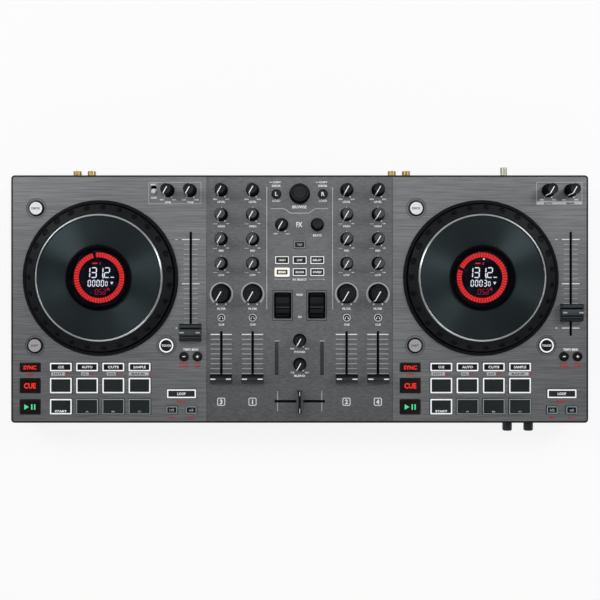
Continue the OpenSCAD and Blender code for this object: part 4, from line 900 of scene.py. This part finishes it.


# a paddle's outline from front to rear: place, height above the plate, and finish up to the next
# the near-black finish paints shade at the ends and in the grooves, the lighter paddle finish a highlight on
# a band towards the rear, and the edge finish a highlight line on a ridge
paddleStyle = {
    "steps": [
        (-13.2, -3, "hollow"), (-12.4, -0.2, "paddle"), (-11.2, 2.0, "paddle"), (-9.6, 4.0, "paddle"),
        (-9.2, 4.2, "hollow"), (-8.8, 3.5, "hollow"), (-7.8, 3.3, "paddle"), (-7.2, 3.9, "paddle"),
        (-3.2, 3.35, "hollow"), (-2.9, 2.6, "hollow"), (-2.0, 2.6, "capEdge"), (-1.8, 3.9, "capEdge"),
        (-1.3, 3.9, "hollow"), (-1.1, 3.2, "paddle"), (1.8, 3.3, "paddle"), (2.4, 3.4, "paddleLit"),
        (5.2, 3.9, "paddleLit"), (8.2, 4.6, "paddle"), (8.7, 4.6, "hollow"), (9.0, 3.6, "hollow"),
        (9.9, 3.6, "paddle"), (10.2, 3.8, "paddle"), (11.4, 2.0, "paddle"), (12.6, -0.2, "hollow"),
        (13.2, -3, "hollow")],
    "width": 16.9, "bevel": 1.55, "bevelDeep": 3.0, "pin": 1.5, "corner": (9.4, 2.0), "sunk": 0.8,
    # outer size, inner size and thickness; the near-black strip, wider than the frame, paints the gap's shade
    "rims": {"hollow": (20.3, 30.5, 18.3, 28.4, 0.05), "paddleFrame": (19.3, 29.4, 17.3, 26.3, 0.74)},
}


def paddle(side):
    # the section is bevelled steeply at both sides, and narrows towards both ends; the bevels are painted
    # near-black as shade
    node = side + "_paddle"
    low, high = boxOf(node)
    x, y = (low[:2] + high[:2]) / 2
    half, bevel = paddleStyle["width"] / 2, paddleStyle["bevel"]
    edge = np.array([0, bevel, bevel + 0.25])
    across = np.concatenate([edge - half, half - edge[::-1]])
    fall = np.interp(half - np.abs(across), edge, (paddleStyle["bevelDeep"], 0.35, 0))
    steps = paddleStyle["steps"]
    place, height = (np.array([step[i] for step in [steps[0], *steps, steps[-1]]])[:, None] for i in (0, 1))
    bottom = low[2] + 0.1
    level = plateZ + height - fall
    level[[0, -1]] = bottom
    start, cut = paddleStyle["corner"]
    narrow = 1 - cut / half * (np.maximum(np.abs(place) - start, 0) / (steps[-1][0] - start)) ** 2
    points = carried(x + across * narrow, y + place, level, bottom)
    # the bevels' faces take the near-black finish: painted shade on the paddle's steep sides
    shadedBevels = np.zeros((points.shape[0] - 1, points.shape[1]), bool)
    shadedBevels[:, [0, 1, len(across) - 3, len(across) - 2]] = True
    build = Build("paddle")
    build.grid(points, ["hollow"] + [step[2] for step in steps], spots=(shadedBevels, "hollow"))

    def alongX(points):
        return points[:, [2, 0, 1]] + [x, y, axisOf(node)[2]]

    reach, r = (high[0] - low[0]) / 2, paddleStyle["pin"]
    build.use("steel").lathe([(0, -reach), (r, -reach), (r, reach), (0, reach)], count=24, place=alongX)
    build.put(node + "_grip", node, "paddle_plastic", (node,))

    # the thin frame let into the plate round the paddle, on a near-black strip that paints the gap's shade
    strip = Print("key", plateZ - paddleStyle["sunk"])
    for look, (wide, tall, innerWide, innerTall, strip.thick) in paddleStyle["rims"].items():
        outer, inner = rounded(wide, tall, 0.5, 3), rounded(innerWide, innerTall, 0.8, 3)
        strip.use(look).between(outer(0), inner(0), x, y)
        strip.height += 0.06
    strip.put(node + "_frame", slot="mixer_plate")


for side in sides:
    paddle(side)
print("paddles")


keyStyle = {
    "flange": 1.0, "flangeThick": 1.2, "flangeLow": 3.5, "edge": 0.3, "line": 1.4, "sunk": 0.14, "stem": 1.1,
    "play": {"left": -5.6, "wide": 4.6, "tall": 5.4, "bars": (1.9, 4.8), "bar": 1.3},
    "phones": [("ring", 0, -0.3, 1.35, 1.65, 0, 180, 12), ("bars", 1.45, -0.8, 0.9, 1.3)],
}
# the kinds of key by the width of their faces
padKinds = {20: "pad"}
deckKinds = {20.1: "transport", 22: "mode", 29.1: "loop", 10.9: "half", 14.4: "round", 9.2: "bend"}
mixerKinds = {7.6: "cue", 9.2: "load", 11.5: "tap", 14: "effect"}


def keysOf(node, kinds):
    # each key's kind and number in that kind, with its middle, face size and heights;
    # under the plate a flange stands out all round
    rim = 2 * keyStyle["flange"]
    count, found = {}, {}
    for (x, y, z), (wide, deep, tall) in solidsOf(node):
        kind = kinds[min(kinds, key=lambda width: abs(width - wide + rim))]
        number = count[kind] = count.get(kind, -1) + 1
        found[kind, number] = (x, y, wide - rim, deep - rim, z - tall / 2, z + tall / 2)
    return found


def keyCap(key, edge, frame, face, line, rim):
    # the key's outline carried up its flange, its side and rounded edge; the frame is a
    # band round the top, with rim also down the rounded edge, and the face lies a little below it
    x, y, width, depth, low, high = key
    outline = disc(width) if abs(width - depth) < 0.3 else rounded(width, depth)
    flange, thick, corner, sunk = (keyStyle[name] for name in ("flange", "flangeThick", "edge", "sunk"))
    under = plateZ - keyStyle["flangeLow"]
    profile = [(-flange, under), (-flange, under + thick), (0, under + thick), (0, high - corner),
               (0.1, high - 0.12), (corner, high), (line, high), (line + 0.08, high - 0.12),
               (line + 0.8, high - sunk)]
    build = Print(edge, high - sunk - 0.02)
    build.shell(outline, profile, x, y,
                [edge] * (3 if rim else 5) + [frame or edge] * (4 if rim else 2) + [face] * 3)
    stem = keyStyle["stem"]
    build.box((x - stem, y - stem, low), (x + stem, y + stem, under + 0.1))
    return build


def legend(build, at, look, text, height=0, width=None, up=0):
    # a word, or one of the signs: play, a pair of headphones, minus and plus
    x, y = at[:2]
    build.use(look)
    if text == "play":
        sign = keyStyle["play"]
        left, half = x + sign["left"], sign["tall"] / 2
        build.flat([(left, y - half), (left + sign["wide"], y), (left, y + half)], [[0, 1, 2]])
        for across in sign["bars"]:
            build.bar(x + across, y, sign["bar"], 2 * half)
    elif text == "phones":
        marks(build, at, keyStyle["phones"], look)
    elif text in "-+":
        build.bar(x, y, width, height)
        if text == "+":
            build.bar(x, y, height, width)
    else:
        build.word(x, y + up, text, height, width)


# each kind's keys in order: edge, frame, face and the frame's width, then the finish of the
# word, its text, height and width, and how far up it stands
keyLooks = {
    "pad": [("pad", "litWhite", "pad", 1.4, "white", "START", 2.1, 12, -4.6),
            *[("pad", "litDim", "pad", 1.0, "faint", letter, 1.4, 3.5, -5) for letter in "ABC"],
            *[("pad", "litWhite", "pad", 1.4)] * 4],
    "transport": [("key", None, "keyGlow", 0.6, *sign) for sign in (
        ("litGreen", "play"), ("litRed", "CUE", 5.2, 12), ("litRed", "SYNC", 3.8, 13.2))],
    "mode": [("key", "litWhite", "key", 1.4, "white", word, 2.3, width) for word, width in (
        ("CUE", 6), ("AUTO", 11), ("CUTS", 11), ("SAMPLE", 12.5))],
    "loop": [("key", "litWhite", "keyGrey", 1.4, "white", "LOOP", 2.5, 8.5)],
    "half": [("key", "litDim", "key", 1.0, "faint", word, 2.2, 4.6) for word in ("1/2", "x2")],
    "round": [("key", "key", "greyCap", 0.95, "redFaint", "SHIFT", 2.1, 7.6),
              ("key", "litWhite", "key", 1.5, "white", "TOUCH", 2.1, 9),
              ("key", "key", "whiteCap", 0.95, "redFaint", "DECK", 2.1, 8.6)],
    "bend": [("key", None, "key", 1.4, "white", sign, 0.9, 2.8) for sign in "-+"],
    "cue": [("key", "white", "key", 0.6, "pointer", "phones")] * 4,
    "load": [("key", None, "key", 1.4, "white", letter, 3.8) for letter in "LR"],
    "tap": [("key", "litDim", "key", 1.0, "faint", "TAP", 2, 5)],
    "effect": [("litWarm", "litWarm", "keyWarm", 1.4, "litWarm", "ECHO", 2, 7),
               *[("key", "litWhite", "key", 0.95, "white", word, 2, width) for word, width in (
                   ("ROOM", 8), ("SWEEP", 9), ("HIGH", 6.5), ("LOW", 5.5), ("DELAY", 9))]],
}


def makeKeys(node, kinds, naming, slot="button_plastic"):
    for (kind, number), key in keysOf(node, kinds).items():
        edge, frame, face, line, *word = keyLooks[kind][number]
        build = keyCap(key, edge, frame, face, line, kind == "cue")
        if word:
            legend(build, key, *word)
        build.put(naming.format(kind, number + 1), node, slot, (node,))


for side in sides:
    makeKeys(side + "_pads", padKinds, side + "_{}_{}", "pad_rubber")
    makeKeys(side + "_buttons", deckKinds, side + "_{}_key_{}")
makeKeys("mixer_buttons", mixerKinds, "{}_key_{}")
print("keys")


def slotOf(fader, along=1):
    # the middle of a fader's travel
    middle = middleOf(fader)
    middle[along] += sum(jointOf(fader)["range_m"]) / 2 / mm
    return middle[:2]


printStyle = {
    "endSize": (1.5, 4.0), "name": 2.0, "ends": (6.2, -9.0), "nameUp": -11.6, "dots": (0.42, 0.8),
    "dotAt": (3.5, -6.5), "topDot": (7.5, 0.42), "slot": (2.5, 6.4, 0.45, 0.35),
}


def knobMarks(ink, node, name=None, width=None, ends=("MIN", "MAX"), topDot=False, endAt=printStyle["ends"]):
    # a dot at each end of the knob's turn, a word under each, and the knob's name below
    rows = []
    across, up = printStyle["dotAt"]
    for s, word, dot in zip((-1, 1), ends, printStyle["dots"]):
        rows.append(("disc", s * across, up, dot, 10))
        rows.append(("word", s * endAt[0], endAt[1], word, *printStyle["endSize"]))
    if topDot:
        rows.append(("disc", 0, *printStyle["topDot"], 8))
    if name:
        rows.append(("word", 0, printStyle["nameUp"], name, printStyle["name"], width))
    marks(ink, axisOf(node), rows)


def slotLining(ink, fader, along=1):
    # a black frame round a fader's slot, painted shade of the slot's walls
    wide, longer, line, radius = printStyle["slot"]
    size = [wide, wide]
    size[along] = np.ptp(jointOf(fader)["range_m"]) / mm + longer
    ink.use("hollow").frame(*slotOf(fader, along), *size, line, radius)


# the red words under the deck's keys: how far up, text, height and width
deckWords = {
    ("transport", 2): [(-6.9, "OFF", 1.9, 8)], ("loop", 0): [(-7.7, "EXIT", 2.2, 9.6)],
    ("half", 0): [(-7.7, "IN", 1.9, 5)], ("half", 1): [(-7.7, "OUT", 2.1, 7)],
    ("bend", 0): [(-6.7, "KEY", 1.6, 8), (-9.9, "DOWN", 2.2, 9)],
    ("bend", 1): [(-6.7, "KEY", 1.6, 6), (-9.9, "UP", 2.2, 5.5)],
}
deckStyle = {
    # under each mode key: the light tag's width and word, the red word's width, and the pair's shift
    "tags": [(13.4, "HOT", 6.2, 0.0), (7.3, "ROLL", 5.4, 0.3), (8.7, "SLICE", 6.6, 1.0),
             (19.8, "BANK", 4.4, 1.1)],
    "tagUp": -6.9, "tagTall": 3.3, "tagWord": (1.8, 0.72), "redWord": (2.0, 0.8),
    # the tempo scale: the lines' number, pitch, inner end, and outer end and width for short and main ones
    "lines": 19, "pitch": 4.92, "inner": 1.3, "short": (7.0, 0.7), "main": (8.8, 0.85),
    "sign": (-14.4, 9, 0.6, 2.0), "bend": ("word", 0, 7.0, "TEMPO BEND", 2.2, 15.3),
    # the rings round the round keys: a grey one paints the shade at the edge of the shallow dish round each
    # key, and a black one the shade of the gap round it
    "rings": {"recess": (9.5, 10.1), "key": (7.5, 8.0)},
}


def deckPrint(side):
    ink = Print("white", plateZ)
    keys = keysOf(side + "_buttons", deckKinds)
    fader = side + "_tempo_fader"
    x, y = slotOf(fader)
    last = deckStyle["lines"] - 1
    for i in range(last + 1):
        main = i in (0, last / 2, last)
        ink.use("white" if main else "faint")
        inner, (outer, thick) = deckStyle["inner"], deckStyle["main" if main else "short"]
        up = (i - last / 2) * deckStyle["pitch"]
        for s in (-1, 1):
            ink.bar(x + s * (inner + outer) / 2, y + up, outer - inner, thick)
    slotLining(ink, fader)
    across, steps, *size = deckStyle["sign"]
    for s, sign in ((-1, "+"), (1, "-")):
        legend(ink, (x + across, y + s * steps * deckStyle["pitch"]), "white", sign, *size)
    for i in range(3):
        for look, radii in deckStyle["rings"].items():
            ink.use(look).ring(*keys["round", i][:2], *radii)
    x, y = (np.array(keys["bend", 0][:2]) + keys["bend", 1][:2]) / 2
    marks(ink, (x, y), [deckStyle["bend"]])
    for place, rows in deckWords.items():
        marks(ink, keys[place], [("word", 0, *row) for row in rows], "red")

    top = Print("dark", plateZ + 0.06)
    (tall, share), (redTall, less) = deckStyle["tagWord"], deckStyle["redWord"]
    for i, (wide, word, redWide, shift) in enumerate(deckStyle["tags"]):
        x, y = keys["mode", i][:2]
        left, y = x + shift - (wide + redWide) / 2, y + deckStyle["tagUp"]
        ink.use("tag").bar(left + wide / 2, y, wide, deckStyle["tagTall"])
        ink.use("red").word(left + wide + redWide / 2, y, "ALT", redTall, redWide - less)
        top.word(left + wide / 2, y, word, tall, wide * share)
    ink.put(side + "_deck_print", slot="deck_plate")
    return top


# outlines round controls: how far up the middle is from the knobs, the margins beside the
# outer controls, the depth, and the line's width and corner
boxStyle = {
    "mic": {"up": -2.5, "left": 5.5, "right": 11, "deep": 22.1}, "line": (0.7, 0.9),
    "output": {"up": -2.95, "margin": 23.85, "deep": 23.5}, "band": (-12.6, 1.2, 3.8),
}


def micBox():
    # the outline round the microphone switch and its two knobs
    ink = Print("faint", plateZ)
    y, style = axisOf("mic_level_knob")[1], boxStyle["mic"]
    switch = middleOf("mic_switch")[0]
    left, right = switch - style["left"], axisOf("mic_tone_knob")[0] + style["right"]
    ink.frame((left + right) / 2, y + style["up"], right - left, style["deep"], *boxStyle["line"])
    marks(ink, (switch, y), [("word", -0.4, 6.1, "MIC", 1.8, 5.5), ("word", 0, -7, "LINE", 1.8, 5.5)])
    knobMarks(ink, "mic_level_knob", "LEVEL", 6.4)
    knobMarks(ink, "mic_tone_knob", "TONE", 6.2, ("LO", "HI"), True)
    ink.put("mic_print", slot="deck_plate")


def outputBox(top):
    # the outline round the two output knobs, with a light band for their names
    ink = Print("faint", plateZ)
    (left, y), right, style = axisOf("booth_level_knob")[:2], axisOf("main_level_knob")[0], boxStyle["output"]
    middle, wide = (left + right) / 2, right - left + style["margin"]
    ink.frame(middle, y + style["up"], wide, style["deep"], *boxStyle["line"])
    up, less, tall = boxStyle["band"]
    ink.use("tag").bar(middle, y + up, wide - less, tall)
    for name in ("booth", "main"):
        node = name + "_level_knob"
        knobMarks(ink, node)
        marks(top, axisOf(node), [("word", 0, up, name.upper(), 2.1, 8)], "dark")
    ink.put("output_print", slot="deck_plate")


mixerMarks = {
    "filter": [("discs", 4.4, -10.5, 0.8, 12), ("word", 0, -15.0, "FILTER", 2.0, 8.7)],
    "cue": [("word", 0, -6.95, "CUE", 1.9, 5.6)],
    "load": [("word", 0, -6.8, "LOAD", 2.2, 8.1), ("word", 0.4, 11.7, "COPY", 1.7, 8.5),
             ("word", 0, 8.2, "DECK", 1.9, 9), ("bar", -5.9, 11.7, 2.6, 0.5)],
    "browse": [("word", -0.3, -12.9, "BROWSE", 2.9, 14.3)], "effects": [("word", -0.4, 0.2, "FX", 4.9, 6.2)],
    "beats": [("word", 0, -10.6, "BEATS", 2.2, 8.5)], "select": [("word", 0, 0, "FX SELECT", 1.9, 14)],
    "paddle": [("word", 0, 10.9, "HOLD", 2.0, 6.4), ("word", 0, -11.4, "ON", 2.0, 3.8)],
    "cross": [("bar", s * 22.1, t * 5.7, 0.95, 8.8) for s in (-1, 1) for t in (-1, 1)],
}
mixerStyle = {
    "bands": (("treble", "HIGH", 7), ("mid", "MID", 5), ("bass", "LOW", 6)),
    # the filter's ring: each radius in the middle and its gain at the ends, and the ends
    "ring": ((10.5, -0.5), (11.4, 0.95)), "ringEnds": (-50, 230),
    # a fader's scale: its lines, and the width of the lines and of the top one
    "shift": -0.2, "lines": 10, "lowest": -21.85, "pitch": 4.878, "out": 6.0, "long": 9.3,
    "thick": (0.85, 1.0),
    # the number's height and place, and its frame's size, line and corner
    "number": 4.4, "numberUp": -45.25, "numberFrame": (7.9, 7.9, 0.7, 1.4),
    # the line under the browse knob, and the lines at both sides of the mixer's middle
    "bracket": {"ends": 28.6, "outer": 16.6, "inner": 8.0, "deep": 4.5, "up": -14.7, "line": 0.75},
    "sideLine": {"across": 32.9, "from": 6.9, "to": -115.5, "line": 0.8},
    # the arrows beside the effect keys' name, from the tap key
    "arrow": {"up": -34.8, "lift": 0.3, "middle": 17.2, "size": (15.4, 0.6), "tip": 25.6, "back": 23.6,
              "half": 1.2},
    "phones": (7.3, -8.4),
}


def channelPrint(ink, channel):
    style, name = mixerStyle, f"channel_{channel}_"
    knobMarks(ink, name + "level_knob", "LEVEL", 7.8)
    for band, word, width in style["bands"]:
        knobMarks(ink, name + band + "_knob", word, width, ("-", "+"), True)
    x, y = axisOf(name + "filter_knob")[:2]
    sweep = np.abs(np.linspace(-1, 1, 61))
    (inner, narrow), (outer, widen) = style["ring"]
    radii = inner + narrow * sweep, outer + widen * sweep ** 2
    ink.use("ringInk").ring(x, y, *radii, *style["ringEnds"], 60)
    marks(ink, (x, y), mixerMarks["filter"])
    x, y = slotOf(name + "fader") + [style["shift"], 0]
    for i in range(style["lines"]):
        top = i == style["lines"] - 1
        ink.use("white" if top else "faint")
        up = style["lowest"] + i * style["pitch"]
        for s in (-1, 1):
            ink.bar(x + s * style["out"], y + up, style["long"], style["thick"][top])
    slotLining(ink, name + "fader")
    ink.use("white").frame(x, y + style["numberUp"], *style["numberFrame"])
    ink.word(x, y + style["numberUp"], str(channel), style["number"])


def mixerPrint():
    ink = Print("white", plateZ)
    for channel in channels:
        channelPrint(ink, channel)
    keys = keysOf("mixer_buttons", mixerKinds)
    for (kind, _), key in keys.items():
        marks(ink, key, mixerMarks.get(kind, ()))
    marks(ink, axisOf("browse_knob"), mixerMarks["browse"])
    y = axisOf("browse_knob")[1]
    style = mixerStyle["bracket"]
    share = np.linspace(0, 1, 9)
    across = style["outer"] - (style["outer"] - style["inner"]) * share
    half = np.column_stack([across, -style["deep"] * waved(share)])
    path = [(-style["ends"], 0), *(half * [-1, 1]), *half[::-1], (style["ends"], 0)]
    ink.use("ringInk").line(np.array(path) + [0, y + style["up"]], style["line"])
    style = mixerStyle["sideLine"]
    for s in (-1, 1):
        across = s * style["across"]
        ink.line([(across, y + style["from"]), (across, y + style["to"])], style["line"])

    knobMarks(ink, "effect_depth_knob")
    marks(ink, (0, axisOf("effect_depth_knob")[1]), mixerMarks["effects"])
    marks(ink, axisOf("beats_knob"), mixerMarks["beats"])
    style = mixerStyle["arrow"]
    y = keys["tap", 0][1] + style["up"]
    marks(ink, (0, y), mixerMarks["select"])
    ink.use("faint")
    y += style["lift"]
    for s in (-1, 1):
        ink.bar(s * style["middle"], y, *style["size"])
        tip, back = s * style["tip"], s * style["back"]
        ink.flat([(tip, y), (back, y - style["half"]), (back, y + style["half"])][::-s], [[0, 1, 2]])
    marks(ink, (0, middleOf("left_paddle")[1]), mixerMarks["paddle"])
    knobMarks(ink, "cue_gain_knob", "PHONES", 11, endAt=mixerStyle["phones"])
    knobMarks(ink, "cue_mix_knob", "BLEND", 11, ("CUE", "MIX"), endAt=mixerStyle["phones"])
    slotLining(ink, "crossfader", 0)
    marks(ink, slotOf("crossfader", 0), mixerMarks["cross"], "faint")
    ink.put("mixer_print", slot="mixer_plate")


meterStyle = {
    "segments": 14, "segment": 0.7, "end": 1.0, "side": 0.8, "shift": -0.35, "edge": 0.5, "bracket": 0.8,
}


def meters():
    # two smoked lenses set flush in the mixer plate, each with a bright bracket at its top
    style = meterStyle
    for side, (middle, size) in zip(sides, [s for s in solidsOf("display_windows") if s[1][0] < 10]):
        (x, y, z), (wide, deep, tall) = middle, size
        lens = Print("meter", plateZ)
        profile = [(0, z - tall / 2), (0, plateZ - 0.1), (0.1, plateZ), (0.5, plateZ + 0.02)]
        lens.shell(rounded(wide, deep, 0.5), profile, x, y)
        # a lighter strip down the lens's right edge: a painted highlight
        lens.use("meterEdge").bar(x + wide / 2 - 0.3, y, style["edge"], deep - 0.6)
        lens.use("ringInk").bar(x, y + deep / 2 + 0.2, wide + 0.4, style["bracket"])
        lens.use("meterDark")
        for i in range(style["segments"]):
            up = (i - style["segments"] / 2 + 0.5) * (deep - 2 * style["end"]) / style["segments"]
            lens.bar(x + style["shift"], y + up, wide - 2 * style["side"], style["segment"])
        lens.put(side + "_level_meter")


for side in sides:
    top = deckPrint(side)
    if side == "left":
        micBox()
    else:
        outputBox(top)
    top.put(side + "_tag_words", slot="deck_plate")
mixerPrint()
meters()
print("print")


# the CAD pieces that stay take their finishes here
kept = {
    "bottom_case": "case", "top_case": "case", "deck_plates": "plate", "mixer_plate": "mixer",
    "rubber_feet": "rubber", "case_screws": "steel", "circuit_boards": "board", "sockets": "sockets",
    "jog_bezels": "bezel", "jog_bearings": "bearing", "control_bodies": "bodies", "mic_switch": "lever",
}
for node, look in kept.items():
    for slot in frame["nodes"][node].material_slots:
        slot.material = finish[look]
print("kept pieces", len(kept))


stageStyle = {
    "floor": 4.0, "floorGrey": (0.86, 0.9), "seen": 0.87,
    # place along Z and grey
    "world": ((0.0, 0.55), (0.72, 0.2), (0.88, 0.05)),
    "camera": {"at": (0.0003, -0.00095, 0.927), "lens": 53.1, "sensor": 36.0},
    # each softbox: its place, its size and its power
    "lamps": {
        "left": ((-0.85, 0.5, 0.8), (0.4, 0.5), 4.9), "right": ((0.88, 0.5, 0.8), (0.4, 0.5), 5.0),
        "rear": ((0, 0.6, 1.3), (1.5, 0.4), 3.0), "front": ((0, -1.1, 0.75), (1.4, 0.3), 3.5),
        "middle": ((0, 0.1, 1.3), (0.25, 0.25), 1.4),
    },
}


def floorLook():
    # a faintly mottled matt grey, which camera, mirror and window rays see nearly white
    look = Finish("floor_pale", 0.9)
    low, high = (scaled((1, 1, 1), grey) for grey in stageStyle["floorGrey"])
    look.feed({"Base Color": look.ramp(look.noise(2, 2), (0.0, low), (1.0, high))})
    rays = look.nodes.new("ShaderNodeLightPath").outputs
    seen = rays["Is Camera Ray"]
    for kind in ("Is Glossy Ray", "Is Transmission Ray"):
        seen = look.add("Math", 0, {0: seen, 1: rays[kind]}, operation="MAXIMUM")
    share = look.add("Math", 0, {0: seen, 1: stageStyle["seen"]}, operation="MULTIPLY")
    mix = look.add("MixShader", 0, {0: share, 1: look.shader.outputs[0], 2: look.add("Emission")})
    look.feed({"Surface": mix}, look.nodes["Material Output"])
    return look.material


def setWorld():
    # dim overhead, brighter towards the horizon, and white to the camera
    world = bpy.data.worlds.new("studio")
    bpy.context.scene.world = world
    world.use_nodes = True
    nodes = world.node_tree.nodes
    place, split, ramp, rays, white = (nodes.new("ShaderNode" + kind) for kind in (
        "TexCoord", "SeparateXYZ", "ValToRGB", "LightPath", "MixRGB"))
    ends = ramp.color_ramp.elements
    ends.new(0.5)
    for end, (at, grey) in zip(ends, stageStyle["world"]):
        end.position = at
        end.color = (grey, grey, grey, 1)
    white.inputs["Color2"].default_value = (1, 1, 1, 1)
    for start, end in ((place.outputs["Generated"], split.inputs[0]), (split.outputs["Z"], ramp.inputs[0]),
                       (rays.outputs["Is Camera Ray"], white.inputs["Fac"]),
                       (ramp.outputs[0], white.inputs["Color1"]),
                       (white.outputs[0], nodes["Background"].inputs["Color"])):
        world.node_tree.links.new(start, end)


def placed(name, data, at=(0, 0, 0)):
    thing = bpy.data.objects.new(name, data)
    thing.location = at
    bpy.context.scene.collection.objects.link(thing)
    return thing


def setStage():
    # the floor: a plane at the feet's lowest point
    half = stageStyle["floor"]
    ends = [(-half, -half, 0), (half, -half, 0), (half, half, 0), (-half, half, 0)]
    mesh = bpy.data.meshes.new("floor")
    mesh.from_pydata(ends, [], [[0, 1, 2, 3]])
    mesh.materials.append(floorLook())
    placed("floor", mesh)
    setWorld()

    # softboxes all round, turned to the middle of the object
    for name, (at, size, power) in stageStyle["lamps"].items():
        lamp = bpy.data.lights.new(name + "_softbox", "AREA")
        lamp.shape = "RECTANGLE"
        lamp.size, lamp.size_y = size
        lamp.energy = power
        holder = placed(lamp.name, lamp, at)
        holder.rotation_euler = mathutils.Vector(at).to_track_quat("Z", "Y").to_euler()
        holder.visible_camera = False

    camera = bpy.data.cameras.new("camera")
    style = stageStyle["camera"]
    camera.lens, camera.sensor_width = style["lens"], style["sensor"]
    scene = bpy.context.scene
    scene.camera = placed("camera", camera, style["at"])
    scene.view_settings.view_transform = "Standard"


setStage()
print("stage")
